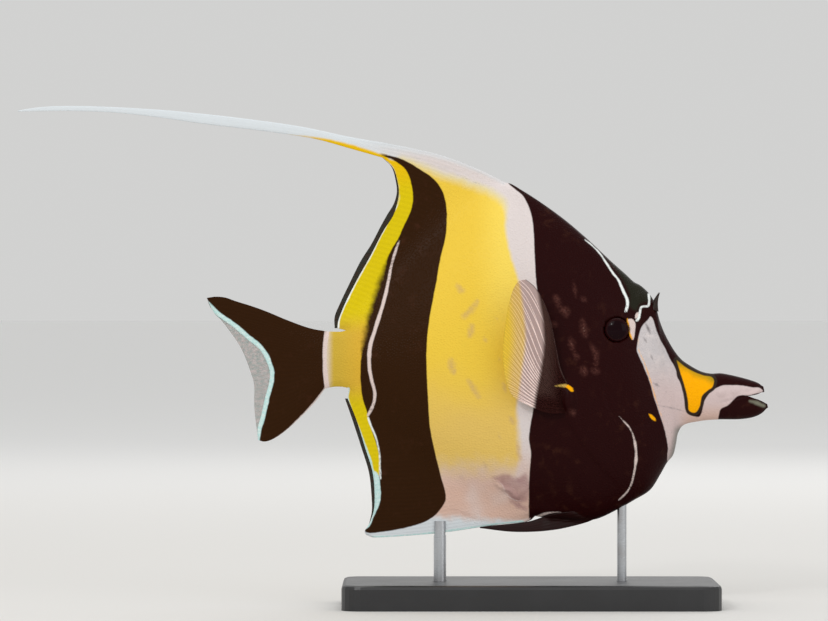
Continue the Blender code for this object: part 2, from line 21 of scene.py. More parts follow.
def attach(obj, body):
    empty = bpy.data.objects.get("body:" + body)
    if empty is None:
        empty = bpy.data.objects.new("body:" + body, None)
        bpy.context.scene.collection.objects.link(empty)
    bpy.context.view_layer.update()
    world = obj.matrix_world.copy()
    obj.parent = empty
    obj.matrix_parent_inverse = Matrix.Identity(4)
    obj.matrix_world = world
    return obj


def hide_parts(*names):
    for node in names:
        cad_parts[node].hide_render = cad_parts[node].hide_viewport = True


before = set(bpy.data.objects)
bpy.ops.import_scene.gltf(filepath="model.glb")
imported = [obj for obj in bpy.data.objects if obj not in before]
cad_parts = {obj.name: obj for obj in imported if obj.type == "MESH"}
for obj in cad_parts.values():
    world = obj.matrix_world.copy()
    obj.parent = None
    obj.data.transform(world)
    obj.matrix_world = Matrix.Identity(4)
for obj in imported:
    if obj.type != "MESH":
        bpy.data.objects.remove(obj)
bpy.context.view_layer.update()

Array = np.ndarray
Knots = Sequence[tuple[float, float]]
# Where a tone starts to show and where it is full
Fade = tuple[float, float]
Box = tuple[float, float, float, float]

MM = 0.001
LOG = logging.getLogger("moorish_idol")

# How far a marking's depth is followed outside it
REACH = 9.0
# The markings are drawn as they look from this far off the flank, round this place
SEEN_FROM = 1500.0
SEEN_ROUND = (-37.1, 94.6)
# Rings of a ray's tube, in shares of a joint
RINGS_APART = 0.34


class Side(Enum):
    """The two flanks of the fish."""

    RIGHT = -1
    LEFT = 1

    @property
    def word(self) -> str:
        """The flank's name in lower case."""
        return self.name.lower()


class Edge(Enum):
    """The body's outlines, by the column of its sections that holds their x."""

    BACK = 0
    BELLY = 1


class Tint(Enum):
    """Colours of the fish and its stand, in sRGB."""

    WHITE = "DDD3D1"
    YELLOW = "EDC844"
    SUNLIT = "F8DC62"
    OCHRE = "E6C266"
    GOLD = "C9A93C"
    AMBER = "DBAE36"
    LEMON = "DCC40E"
    REAR_BROWN = "301905"
    FRONT_BROWN = "240707"
    BROWN_MOTTLE = "4A2A1C"
    FILAMENT = "D8DEE2"
    LOW_FACE = "D0BCBA"
    FACE = "C7C1C2"
    BLUSH = "D9B6A5"
    ORANGE = "FFB000"
    OLIVE = "A88A18"
    LINE_WHITE = "F0F5F2"
    LINE_PINK = "DCCAC4"
    LINE_CYAN = "BFE2DF"
    JAW = "30261F"
    # Grey-green of the painted highlight on the lower lip
    LIP_HIGHLIGHT = "8E8E7C"
    # Mauve of the belly fold, also used for the painted shadow under it
    FOLD_AND_SHADOW = "A67F7E"
    STAIN = "B08E84"
    # Grey of the face's speckles and smudges, also the painted shadow in a crease
    SPECKLE_AND_CREASE_SHADOW = "7A7375"
    RAY = "F6E0DA"
    MEMBRANE = "BAA29E"
    VEIL = "48332E"
    DARK_RAY = "422E2A"
    SCAR = "633B34"
    CREAM = "E4D6A8"
    GOLD_TOP = "ECBE0C"
    BRIGHT_GOLD = "EED193"
    BROW = "24231A"
    # Grey-green of the throat's lower edge, partly its own tone and partly painted shade
    THROAT_TONE_AND_SHADE = "5E665F"
    VEIN = "9A9C98"
    PALE_GOLD = "DCB568"
    FRINGE = "23271F"
    CLEAR_TAIL = "5F746A"
    PELVIC = "200A07"
    IRIS = "210B0E"
    PUPIL = "150307"
    HORN = "241E16"
    STAND = "1B1B1D"
    STEEL = "B9BCC0"
    FLOOR = "DAD8D4"

    @property
    def linear(self) -> tuple[float, float, float, float]:
        """The colour as linear RGBA.

        Returns:
            Red, green, blue and alpha.
        """
        parts = [int(self.value[i:i + 2], 16) / 255 for i in (0, 2, 4)]
        red, green, blue = (
            p / 12.92 if p <= 0.04045 else ((p + 0.055) / 1.055) ** 2.4 for p in parts
        )
        return red, green, blue, 1.0


# Lines and blends


def smooth_line(knots: Knots, steps: int = 12) -> Array:
    """Fine polyline through knots that may lie unevenly.

    Args:
        knots: Places the line passes through.
        steps: Points made for each span.

    Returns:
        The line's points, one a row.
    """
    core = np.asarray(knots, float)
    ends = np.vstack([2 * core[0] - core[1], core, 2 * core[-1] - core[-2]])
    pieces = []
    for a, b, c, d in zip(ends, ends[1:], ends[2:], ends[3:]):
        gaps = [math.sqrt(max(math.dist(p, q), 1e-9)) for p, q in ((a, b), (b, c), (c, d))]
        t0, t1, t2, t3 = np.concatenate([[0.0], np.cumsum(gaps)])
        t = np.linspace(t1, t2, steps, endpoint=False)[:, None]
        ab = ((t1 - t) * a + (t - t0) * b) / (t1 - t0)
        bc = ((t2 - t) * b + (t - t1) * c) / (t2 - t1)
        cd = ((t3 - t) * c + (t - t2) * d) / (t3 - t2)
        abc = ((t2 - t) * ab + (t - t0) * bc) / (t2 - t0)
        bcd = ((t3 - t) * bc + (t - t1) * cd) / (t3 - t1)
        pieces.append(((t2 - t) * abc + (t - t1) * bcd) / (t2 - t1))
    return np.vstack([*pieces, core[-1:]])


def run_of(line: Array) -> Array:
    """Share of a polyline's length at each of its points.

    Args:
        line: The polyline.

    Returns:
        The shares, from 0 to 1.
    """
    steps = np.linalg.norm(np.diff(line, axis=0), axis=1)
    run = np.concatenate([[0.0], np.cumsum(steps)])
    return run / run[-1]


def spaced(line: Array, shares: Array) -> Array:
    """Points at the given shares of a polyline's length."""
    run = run_of(line)
    return np.column_stack([np.interp(shares, run, line[:, k]) for k in range(line.shape[1])])


def ease(low: float, high: float, value: Any) -> Any:
    """Smooth step from 0 at low to 1 at high."""
    share = np.clip((value - low) / (high - low), 0.0, 1.0)
    return share * share * (3 - 2 * share)


def bell(value: Any, width: float) -> Any:
    """Bell curve of height 1."""
    return np.exp(-((value / width) ** 2))


def near_line(at: Array, line: Array, reach: float = REACH) -> tuple[Array, Array]:
    """Nearest point of a polyline for many places.

    Args:
        at: Places, one a row.
        line: The polyline's points.
        reach: How far the line is looked for.

    Returns:
        The distance, at most the reach, and the share of the line's length, for each place.
    """
    distance = np.full(len(at), reach)
    share = np.zeros(len(at))
    close = ((at > line.min(0) - reach) & (at < line.max(0) + reach)).all(1)
    picked = np.flatnonzero(close)
    spans = np.diff(line, axis=0)
    squares = np.maximum((spans ** 2).sum(1), 1e-12)
    run = run_of(line)
    for part in np.array_split(picked, len(picked) // 16000 + 1):
        off = at[part, None] - line[:-1]
        t = np.clip((off * spans).sum(2) / squares, 0.0, 1.0)
        square = ((off - t[..., None] * spans) ** 2).sum(2)
        best = square.argmin(1)
        rows = np.arange(len(part))
        distance[part] = np.minimum(np.sqrt(square[rows, best]), reach)
        share[part] = run[best] + t[rows, best] * (run[best + 1] - run[best])
    return distance, share


@dataclass(frozen=True)
class Patch:
    """A closed marking: a smooth line, then straight corners that close it."""

    knots: Knots
    corners: Knots = ()

    def depth(self, at: Array) -> Array:
        """How far inside the marking each place lies, negative outside.

        Args:
            at: Side view places, one a row.

        Returns:
            The depths.
        """
        ring = smooth_line([*self.knots, self.knots[0]] if not self.corners else self.knots, 6)
        if self.corners:
            ring = np.vstack([ring, np.asarray(self.corners, float), ring[:1]])
        distance, _ = near_line(at, ring)
        inside = np.zeros(len(at), bool)
        for (x0, z0), (x1, z1) in zip(ring, ring[1:]):
            if z0 != z1:
                crossing = (at[:, 1] > z0) != (at[:, 1] > z1)
                inside ^= crossing & (at[:, 0] < x0 + (at[:, 1] - z0) * (x1 - x0) / (z1 - z0))
        return np.where(inside, distance, -distance)


@dataclass(frozen=True)
class Stroke:
    """A drawn-out marking with its half width at the start, middle and end."""

    knots: Knots
    halves: tuple[float, float, float] = (0.5, 0.5, 0.5)

    def depth(self, at: Array) -> Array:
        """How far inside the stroke each place lies, negative outside."""
        distance, share = near_line(at, smooth_line(self.knots, 6))
        return np.interp(share, (0.0, 0.5, 1.0), self.halves) - distance


Marks = tuple[Patch | Stroke, ...]


# The flesh


@dataclass(frozen=True)
class Flesh:
    """Side outline and thickness of the body, from the tail root to the lips."""

    back: Knots = (
        (-64.5, 87.8), (-58.9, 88.2), (-52.8, 93.8), (-43.2, 104.6), (-32.0, 116.8), (-20.8, 127.4),
        (-12.8, 132.8), (-7.7, 135.4), (-2.2, 132.8), (9.6, 124.8), (17.3, 118.4), (26.2, 110.1),
        (30.7, 106.1), (33.3, 103.7), (35.2, 102.7), (37.4, 100.8), (38.7, 99.2), (40.0, 96.8),
        (41.6, 91.0), (43.4, 86.6), (46.2, 81.7), (48.6, 78.8), (51.5, 76.8), (55.0, 75.0), (58.0, 74.4),
        (61.0, 74.5), (64.0, 74.0), (67.4, 73.2), (70.6, 72.3), (73.0, 71.4), (74.2, 70.5),
    )
    belly: Knots = (
        (-65.6, 69.6), (-62.1, 70.2), (-57.9, 69.6), (-52.8, 65.3), (-44.8, 57.3), (-35.2, 48.3),
        (-25.6, 41.0), (-16.0, 35.2), (-6.4, 31.0), (1.6, 28.8), (9.6, 28.0), (16.0, 27.5), (21.1, 27.8),
        (28.2, 31.0), (33.3, 33.9), (38.4, 37.1), (41.6, 41.9), (43.8, 45.8), (45.8, 48.3), (46.7, 51.8),
        (47.4, 55.4), (49.0, 57.8), (54.4, 59.2), (60.0, 59.7), (67.5, 59.8), (71.7, 60.5), (74.2, 61.7),
        (75.8, 63.3),
    )
    # x on the back, x on the belly, forward bow, half width, roundness above and below
    sections: tuple[tuple[float, ...], ...] = (
        (-64.5, -65.6, 0.0, 1.7, 0.6, 0.6),
        (-57.6, -57.6, 0.0, 3.0, 0.7, 0.7),
        (-48.0, -48.0, 0.0, 5.0, 0.85, 0.85),
        (-35.2, -35.2, 0.0, 7.8, 0.9, 0.9),
        (-20.8, -19.8, 0.0, 10.4, 0.88, 0.88),
        (-7.7, -4.8, 0.0, 12.0, 0.8, 0.8),
        (1.6, 9.6, -1.3, 12.6, 0.7, 0.6),
        (9.0, 22.4, -3.2, 12.7, 0.62, 0.52),
        (19.2, 30.4, -1.9, 12.2, 0.58, 0.5),
        (27.8, 35.8, 0.0, 11.4, 0.56, 0.5),
        (35.2, 40.0, 0.0, 9.9, 0.55, 0.5),
        (39.0, 43.8, 0.0, 8.2, 0.54, 0.5),
        (41.3, 46.4, 0.0, 6.8, 0.52, 0.5),
        (44.2, 48.6, 0.0, 5.6, 0.5, 0.5),
        (48.6, 51.8, 0.0, 4.8, 0.5, 0.5),
        (54.4, 55.0, 0.0, 4.4, 0.5, 0.5),
        (60.2, 60.2, 0.0, 4.2, 0.5, 0.5),
        (69.4, 69.4, 0.0, 3.9, 0.5, 0.5),
        (72.6, 73.6, 0.0, 3.2, 0.5, 0.5),
        (74.2, 75.8, 0.0, 1.3, 0.5, 0.5),
    )
    fin_edge: float = 1.1
    bare_edge: float = 0.22
    coat: float = 0.1
    halvings: int = 26

    @property
    def lips(self) -> int:
        """Number of the last section."""
        return len(self.sections) - 1

    def section(self, u: Array) -> Array:
        """Section values, one column each, at places along the body.

        Args:
            u: Places, counted in sections from the tail root.

        Returns:
            Values between those of the sections.
        """
        table = np.array(self.sections)
        low = np.clip(u.astype(int), 0, self.lips - 1)
        t = (u - low)[:, None]
        a, b, c, d = (table[np.clip(low + k, 0, self.lips)] for k in (-1, 0, 1, 2))
        cubic = 2 * a - 5 * b + 4 * c - d + t * (3 * (b - c) + d - a)
        return b + 0.5 * t * (c - a + t * cubic)

    def ends(self, u: Array) -> tuple[Array, Array]:
        """Points of the belly and of the back at places along the body.

        Args:
            u: Places along the body.

        Returns:
            The belly's points and the back's.
        """
        values = self.section(u)
        back, belly = smooth_line(self.back), smooth_line(self.belly)
        low = np.column_stack([values[:, 1], np.interp(values[:, 1], *belly.T)])
        high = np.column_stack([values[:, 0], np.interp(values[:, 0], *back.T)])
        return low, high

    def point(self, u: Array, s: Array) -> Array:
        """Side view point for each place u along the body and height s from -1 to 1.

        Args:
            u: Places along the body.
            s: Heights, from the belly to the back.

        Returns:
            The points.
        """
        low, high = self.ends(u)
        at = low + (high - low) * ((s + 1) / 2)[:, None]
        at[:, 0] += self.section(u)[:, 2] * (1 - s * s)
        return at

    def half(self, u: Array, s: Array) -> Array:
        """Half width of the skin, inside the flesh by the depth of the coat.

        Args:
            u: Places along the body.
            s: Heights, from the belly to the back.

        Returns:
            The half widths.
        """
        _, _, _, width, above, below = self.section(u).T
        power = below + (above - below) * ease(-0.3, 0.3, s)
        bare = np.maximum(ease(5.0, 6.0, u), 1 - ease(0.3, 1.3, u))
        edge = self.fin_edge + (self.bare_edge - self.fin_edge) * bare
        return edge + (width - self.coat - edge) * np.clip(1 - s * s, 0.0, 1.0) ** power

    def place(self, at: Array) -> tuple[Array, Array]:
        """Place along the body and height of each point of the side view.

        Args:
            at: Side view places, one a row.

        Returns:
            Places along the body, and heights from -1 to 1.
        """
        low = np.zeros(len(at))
        high = np.full(len(at), float(self.lips))
        for _ in range(self.halvings):
            u = (low + high) / 2
            bottom, top = self.ends(u)
            rise = (at[:, 1] - bottom[:, 1]) / np.maximum(top[:, 1] - bottom[:, 1], 1e-6)
            s = np.clip(2 * rise - 1, -1.0, 1.0)
            ahead = self.point(u, s)[:, 0] < at[:, 0]
            low, high = np.where(ahead, u, low), np.where(ahead, high, u)
        return u, s

    def side(self, at: Array) -> Array:
        """Half width of the flesh at points of the side view."""
        return self.half(*self.place(at)) + self.coat

    def along(self, edge: Edge, x: float) -> float:
        """Place along the body whose back or belly lies at x."""
        u = np.linspace(0, self.lips, 4000)
        return float(np.interp(x, self.section(u)[:, edge.value], u))


@dataclass(frozen=True)
class Eye:
    """Place and size of the eyes."""

    centre: tuple[float, float] = (27.3, 88.4)
    radius: float = 3.85
    pupil: float = 2.95
    proud: float = 1.1
    equator: float = -0.45
    depth: float = 5.2
    rim: float = 3.95


# Mesh helpers


def new_object(name: str, points: Array, faces: Sequence[Sequence[int]] | Array,
               fields: dict[str, Array] | None = None) -> Object:
    """Smooth-shaded mesh object in the scene.

    Args:
        name: Name of the piece.
        points: Vertices in metres, one a row.
        faces: Vertex numbers of each face.
        fields: Named numbers for each vertex.

    Returns:
        The new object.
    """
    mesh = bpy.data.meshes.new(name)
    listed = faces.tolist() if isinstance(faces, np.ndarray) else faces
    mesh.from_pydata(points.tolist(), [], listed)
    for key, values in (fields or {}).items():
        put_field(mesh, key, values)
    mesh.shade_smooth()
    mesh.update()
    return in_scene(name, mesh)


def in_scene(name: str, data: Any) -> Object:
    """New object in the scene that shows the data.

    Args:
        name: Name of the object.
        data: Its mesh, lamp or camera.

    Returns:
        The object.
    """
    thing = bpy.data.objects.new(name, data)
    bpy.context.scene.collection.objects.link(thing)
    return thing


def spread(shape: tuple[int, ...], **values: Any) -> dict[str, Array]:
    """Values by name, each repeated over all points of a sheet."""
    return {key: np.array(np.broadcast_to(value, shape)) for key, value in values.items()}


def boxed(box: Box, along: Any, across: Any) -> Array:
    """Map places in a box at shares of its length and of its height."""
    return np.stack(np.broadcast_arrays(box[0] + box[2] * along, box[1] + box[3] * across), 2)


def put_field(mesh: Mesh, key: str, values: Array) -> None:
    """Stores a number for each vertex under a name.

    Args:
        mesh: The mesh.
        key: The name.
        values: A number for each vertex.
    """
    if key in mesh.attributes:
        mesh.attributes.remove(mesh.attributes[key])
    store = mesh.attributes.new(key, "FLOAT", "POINT")
    store.data.foreach_set("value", np.ascontiguousarray(values, np.float32))


def vertices_of(mesh: Mesh) -> Array:
    """Vertices of a mesh in metres.

    Args:
        mesh: The mesh.

    Returns:
        One vertex a row.
    """
    flat = np.empty(len(mesh.vertices) * 3, np.float32)
    mesh.vertices.foreach_get("co", flat)
    return flat.reshape(-1, 3).astype(float)


def grid_faces(rows: int, columns: int, first: int = 0) -> Array:
    """Quads of a grid of points numbered row by row.

    Args:
        rows: Rows of points.
        columns: Points in a row.
        first: Number of the first point.

    Returns:
        One quad a row.
    """
    k = np.arange(rows * columns).reshape(rows, columns) + first
    corners = (k[:-1, :-1], k[:-1, 1:], k[1:, 1:], k[1:, :-1])
    return np.stack([c.ravel() for c in corners], 1)


def rim_of(faces: Array) -> Array:
    """Directed edges that only one face uses.

    Args:
        faces: Quads, one a row.

    Returns:
        First and second vertex of each edge.
    """
    edges = np.vstack([np.column_stack([faces[:, k], faces[:, (k + 1) % 4]]) for k in range(4)])
    edges = edges[edges[:, 0] != edges[:, 1]]
    ordered = np.sort(edges, 1)
    _, index, count = np.unique(ordered, axis=0, return_index=True, return_counts=True)
    return edges[index[count == 1]]


def plate(name: str, grid: Array, half: Array, middle: Array | None = None) -> Object:
    """Closed thin piece round a grid of side view points.

    Args:
        name: Name of the piece.
        grid: Points of the side view, as rows, columns, (x, z).
        half: Half thickness at each point.
        middle: Sideways place of the middle at each point.

    Returns:
        The new object.
    """
    rows, columns = grid.shape[:2]
    flat = grid.reshape(-1, 2)
    thick = half.ravel()
    centre = np.zeros(len(flat)) if middle is None else middle.ravel()
    sheets = [
        np.column_stack([flat[:, 0], centre + sign * thick, flat[:, 1]]) * MM for sign in (-1, 1)
    ]
    near = face_right(grid_faces(rows, columns), flat)
    return new_object(name, np.vstack(sheets), close_sheets(near, len(flat)))


def face_right(faces: Array, flat: Array) -> Array:
    """Quads of a sheet turned to face -Y, from the sheet's side view points.

    Args:
        faces: Quads, one a row.
        flat: Points of the side view.

    Returns:
        The quads.
    """
    a, b, c = (flat[faces[:, k]] for k in (0, 1, 2))
    (ux, uz), (vx, vz) = (b - a).T, (c - a).T
    return faces if (ux * vz - uz * vx).sum() > 0 else faces[:, ::-1]


def close_sheets(near: Array, count: int) -> Array:
    """Faces of two like sheets with the strip that joins their rims, facing outward.

    Args:
        near: Quads of the sheet that faces -Y.
        count: Vertices of one sheet.

    Returns:
        All quads.
    """
    rim = rim_of(near)
    strip = np.column_stack([rim[:, 1], rim[:, 0], rim[:, 0] + count, rim[:, 1] + count])
    return np.vstack([near, near[:, ::-1] + count, strip])


def fan(roots: Array, margins: Array, first: Array, last: Array, shares: Array) -> Array:
    """Grid of a four-sided fin from the points of its root, margin and two edges.

    Args:
        roots: Points along the root.
        margins: Points along the margin, as many as the roots.
        first: Points of the leading edge, from the root outward.
        last: Points of the trailing edge, as many as the leading edge has.
        shares: Share of the root's length at each root point.

    Returns:
        Points as ray, step outward, (x, z).
    """
    v = np.linspace(0, 1, len(first))[None, :, None]
    u = shares[:, None, None]
    ruled = (1 - v) * roots[:, None] + v * margins[:, None]
    crossed = (1 - u) * first[None] + u * last[None]
    inner = (1 - u) * roots[0] + u * roots[-1]
    outer = (1 - u) * margins[0] + u * margins[-1]
    return ruled + crossed - ((1 - v) * inner + v * outer)


def flattened(points: Array) -> Array:
    """Side view places, in millimetres, that points in metres cover when seen from the side.

    Args:
        points: Points, one a row.

    Returns:
        Their places.
    """
    scaled = points / MM
    grow = SEEN_FROM / (SEEN_FROM - np.abs(scaled[:, 1]))
    centre = np.array(SEEN_ROUND)
    return centre + (scaled[:, [0, 2]] - centre) * grow[:, None]


# The markings


@dataclass(frozen=True)
class Markings:
    """Bands, lines and spots of the fish, with a few painted highlights and shadows, drawn on its side
    view.
    """

    head: Patch = Patch(
        ((-7.9, 139.0), (-7.0, 135.4), (-2.2, 131.2), (0.3, 125.8), (1.1, 120.3), (1.6, 109.8),
         (2.2, 101.8), (3.8, 91.2), (4.2, 83.5), (3.2, 75.5), (1.6, 67.2), (1.0, 63.0), (-0.3, 53.8),
         (0.3, 49.0), (-0.3, 39.7), (-0.3, 24.0)),
        ((95.0, 15.0), (95.0, 150.0)),
    )
    face: Patch = Patch(
        ((38.6, 92.7), (39.3, 91.8), (40.2, 89.0), (41.6, 85.4), (43.4, 82.2), (44.8, 79.2), (46.7, 75.7),
         (47.2, 73.1), (48.6, 70.7), (49.3, 67.5), (49.6, 64.2), (50.4, 62.2), (51.5, 61.1), (54.1, 60.6),
         (55.2, 62.7), (55.7, 65.3), (57.0, 67.5), (58.6, 69.1), (61.4, 70.5), (64.6, 70.6), (67.8, 70.5),
         (71.0, 70.0), (73.4, 69.8), (74.6, 68.8), (72.3, 68.0), (70.1, 67.4), (66.9, 67.3), (65.3, 66.2),
         (63.4, 64.3), (61.1, 63.0), (60.5, 61.4), (59.5, 57.5), (54.4, 56.5), (51.2, 55.5), (49.3, 53.0),
         (48.6, 49.9), (47.6, 45.4), (44.3, 45.5), (44.2, 50.6), (43.8, 53.1), (42.9, 57.0), (41.6, 61.1),
         (40.0, 65.9), (38.4, 71.4), (36.5, 76.5), (34.2, 81.9), (34.5, 84.5), (35.0, 87.2), (35.7, 89.3),
         (37.2, 91.0)),
    )
    saddle: Patch = Patch(
        ((47.0, 78.6), (49.6, 76.5), (52.8, 74.7), (55.7, 73.7), (58.1, 73.2), (58.8, 72.0), (58.3, 70.2),
         (56.5, 68.8), (55.0, 67.2), (54.4, 64.6), (53.4, 62.4), (52.5, 61.9), (51.0, 62.6), (50.6, 65.9),
         (49.9, 69.1), (48.7, 73.3)),
    )
    rear: Patch = Patch(
        ((-50.4, 145.3), (-46.2, 144.5), (-40.8, 142.9), (-34.9, 139.6), (-30.1, 136.0), (-27.5, 131.5),
         (-26.6, 125.8), (-26.9, 118.7), (-28.5, 112.0), (-30.1, 102.7), (-32.3, 90.9), (-33.0, 83.5),
         (-33.1, 77.8), (-32.6, 67.2), (-32.0, 57.3), (-30.4, 49.3), (-28.8, 42.6), (-27.5, 38.1),
         (-26.9, 34.2), (-28.8, 30.7), (-31.4, 28.2), (-35.5, 26.2), (-40.0, 25.0), (-45.4, 24.0),
         (-52.8, 23.7), (-51.8, 27.5), (-49.9, 32.3), (-49.3, 37.1), (-48.5, 41.0), (-48.0, 44.2),
         (-48.6, 49.9), (-50.2, 55.0), (-51.5, 58.9), (-52.2, 62.1), (-53.4, 65.9), (-54.1, 70.4),
         (-54.1, 78.7), (-52.8, 88.3), (-51.8, 92.8), (-49.3, 100.8), (-47.0, 107.5), (-44.5, 113.6),
         (-41.9, 118.1), (-40.3, 121.9), (-38.4, 125.8), (-37.4, 129.9), (-37.9, 134.7), (-39.6, 139.4),
         (-42.6, 142.0), (-46.4, 143.8)),
    )
    tail: Patch = Patch(
        ((-64.4, 92.0), (-65.0, 88.0), (-65.6, 83.5), (-65.8, 78.7), (-65.5, 73.9), (-64.6, 67.0)),
        ((-64.0, 40.0), (-120.0, 40.0), (-120.0, 110.0), (-64.0, 110.0)),
    )
    yellow: Patch = Patch(
        ((-41.0, 142.0), (-35.2, 140.0), (-28.8, 137.2), (-20.0, 134.4), (-12.6, 131.4), (-8.6, 127.9),
         (-7.7, 120.3), (-6.1, 112.0), (-3.8, 104.6), (-2.2, 94.7), (-1.6, 85.1), (-2.9, 73.9),
         (-4.2, 62.7), (-3.8, 57.9), (-3.5, 52.6), (-3.4, 47.6), (-5.0, 43.0), (-9.0, 33.9),
         (-11.2, 18.0)),
        ((-75.0, 18.0), (-75.0, 100.0), (-52.0, 128.0)),
    )
    white: Marks = (
        Stroke(((-45.9, 142.4), (-43.5, 139.9), (-42.2, 136.2), (-41.7, 132.4), (-42.3, 128.6),
                (-44.9, 123.8), (-46.9, 120.0), (-51.3, 111.3), (-54.6, 105.4), (-57.3, 100.2),
                (-59.9, 94.9), (-61.1, 91.5), (-61.3, 88.9)), (0.1, 0.22, 0.3)),
        Stroke(((-51.8, 60.4), (-51.3, 58.7), (-49.3, 53.9), (-48.2, 49.1), (-48.0, 43.5), (-47.8, 40.6)),
               (0.3, 0.2, 0.3)),
        Stroke(((17.2, 117.5), (19.6, 115.6), (22.5, 112.7), (24.4, 109.8), (26.5, 106.6), (28.2, 104.5),
                (29.1, 102.6), (30.1, 100.3), (31.0, 98.4), (31.2, 96.4), (30.7, 94.4)),
               (0.12, 0.28, 0.5)),
        Stroke(((38.0, 99.7), (38.2, 97.9), (37.8, 96.0), (36.6, 95.9), (35.6, 95.6), (35.2, 94.1),
                (34.9, 92.4), (34.2, 91.4)), (0.34, 0.3, 0.36)),
    )
    pink: Marks = (
        Stroke(((-65.6, 69.2), (-69.0, 65.0), (-74.6, 59.2), (-79.0, 55.3), (-82.9, 52.8)),
              (0.5, 0.22, 0.1)),
        Stroke(((-41.9, 116.8), (-43.5, 112.0), (-44.5, 108.2), (-45.4, 103.4), (-47.0, 96.6),
                (-49.6, 88.3), (-51.2, 82.9), (-51.4, 76.8), (-50.7, 72.6), (-49.6, 67.8), (-50.1, 64.6),
                (-51.8, 61.1)), (0.3, 0.6, 0.45)),
        Stroke(((-64.9, 88.2), (-65.5, 83.5), (-65.7, 78.7), (-65.4, 73.9), (-64.8, 69.0)),
              (0.75, 0.62, 0.8)),
        Stroke(((28.5, 60.8), (32.3, 56.3), (33.9, 50.2), (33.6, 44.2), (31.7, 37.4), (28.5, 33.9)),
               (0.12, 0.4, 0.15)),
        Stroke(((-3.0, 27.2), (0.6, 28.1), (3.2, 28.9), (5.6, 29.7), (7.8, 30.0), (10.0, 30.0)),
              (0.2, 0.45, 0.05)),
        Stroke(((-12.0, 40.7), (-8.8, 38.7), (-7.7, 35.9), (-4.8, 33.9), (-1.6, 33.6)), (-0.1, 0.12, 0.0)),
        Stroke(((-6.6, 39.7), (-4.9, 37.2), (-3.9, 35.6)), (-0.15, 0.05, -0.15)),
        Patch(((31.2, 91.8), (32.6, 91.9), (33.7, 90.4), (33.6, 87.7), (32.9, 85.1), (32.1, 87.2),
               (31.4, 89.8))),
        Stroke(((34.5, 93.6), (33.9, 92.4)), (0.4, 0.5, 0.4)),
    )
    cyan: Marks = (
        Stroke(((-104.0, 97.9), (-100.2, 93.8), (-94.7, 89.9), (-89.9, 85.8), (-86.1, 82.6),
                (-83.8, 78.7), (-82.6, 74.6), (-82.9, 71.4), (-84.2, 66.6), (-85.4, 61.1), (-86.7, 56.6),
                (-87.4, 52.8)), (0.7, 0.8, 0.8)),
        Stroke(((-50.1, 41.1), (-51.0, 45.9), (-52.7, 50.9), (-54.9, 56.8), (-57.2, 62.6), (-58.4, 66.8),
                (-58.1, 69.6)), (0.5, 0.38, 0.4)),
        Patch(((-49.6, 43.4), (-50.6, 41.6), (-50.2, 37.5), (-50.3, 32.5), (-51.4, 28.6), (-53.6, 24.2),
               (-51.4, 25.4), (-49.6, 29.6), (-48.2, 32.6), (-47.7, 35.0), (-47.9, 38.0), (-48.3, 41.6))),
        Stroke(((-2.0, 27.2), (-9.6, 26.3), (-20.5, 24.8), (-28.8, 23.6), (-37.1, 22.7), (-45.4, 22.2),
                (-50.6, 22.2)), (0.3, 0.4, 0.35)),
    )
    orange: Marks = (
        Stroke(((8.0, 70.4), (10.4, 70.5), (12.0, 70.3), (13.4, 69.2)), (0.0, 0.5, 0.7)),
        Patch(((37.9, 61.6), (39.0, 61.2), (40.1, 60.1), (40.3, 59.2), (39.3, 59.6), (38.3, 60.5))),
        Stroke(((31.1, 92.0), (31.4, 89.8), (32.0, 87.2), (32.7, 85.3)), (0.25, 0.32, 0.12)),
    )
    stain: Marks = (
        Stroke(((-22.8, 102.4), (-22.0, 101.2)), (1.0, 1.0, 1.0)),
        Stroke(((-17.0, 97.5), (-19.0, 94.6), (-20.8, 92.8)), (0.8, 1.2, 1.0)),
        Stroke(((-18.6, 89.5), (-19.2, 86.6)), (1.1, 1.3, 0.8)),
        Stroke(((-25.4, 78.4), (-24.4, 75.2)), (1.0, 1.3, 1.1)),
        Stroke(((-19.6, 72.2), (-18.0, 69.4), (-16.6, 67.0)), (0.6, 1.1, 0.8)),
        Stroke(((-11.2, 92.4), (-10.4, 91.8)), (0.2, 0.4, 0.2)),
        Stroke(((-14.6, 86.0), (-14.2, 84.8)), (0.2, 0.4, 0.2)),
        Stroke(((-9.8, 79.6), (-9.4, 78.4)), (0.2, 0.4, 0.2)),
        Stroke(((-8.6, 71.4), (-7.8, 69.0)), (0.3, 0.6, 0.3)),
        Stroke(((-6.4, 60.6), (-5.2, 58.2)), (0.2, 0.6, 0.2)),
        Stroke(((-4.2, 52.6), (-3.6, 49.0), (-2.8, 47.2)), (0.1, 0.6, 0.2)),
        Stroke(((-10.2, 55.4), (-9.4, 53.6)), (0.1, 0.4, 0.1)),
        Stroke(((-12.2, 40.0), (-9.0, 36.8), (-6.4, 35.8), (-4.2, 33.6), (-2.0, 36.6)), (0.1, 0.5, 0.2)),
        Stroke(((-7.0, 34.6), (-4.0, 32.2), (-1.0, 30.6)), (0.3, 0.8, 0.3)),
        Stroke(((-14.8, 46.0), (-13.9, 43.6)), (0.2, 0.5, 0.2)),
        Stroke(((-22.4, 41.4), (-21.4, 40.6)), (0.3, 0.5, 0.3)),
        Stroke(((-28.8, 31.0), (-23.7, 30.7), (-18.6, 28.5), (-13.4, 27.2)), (0.1, 0.3, 0.1)),
    )
    fold_and_shadow: Marks = (
        Patch(((-11.6, 41.0), (-8.0, 42.2), (-4.0, 41.0), (-1.2, 42.4), (-0.6, 34.0), (-4.6, 33.2),
               (-7.2, 35.8), (-8.8, 38.4))),
        # Painted shadow under the fold
        Stroke(((-5.8, 33.4), (-3.6, 31.9), (-1.4, 31.2)), (0.2, 0.9, 0.4)),
    )
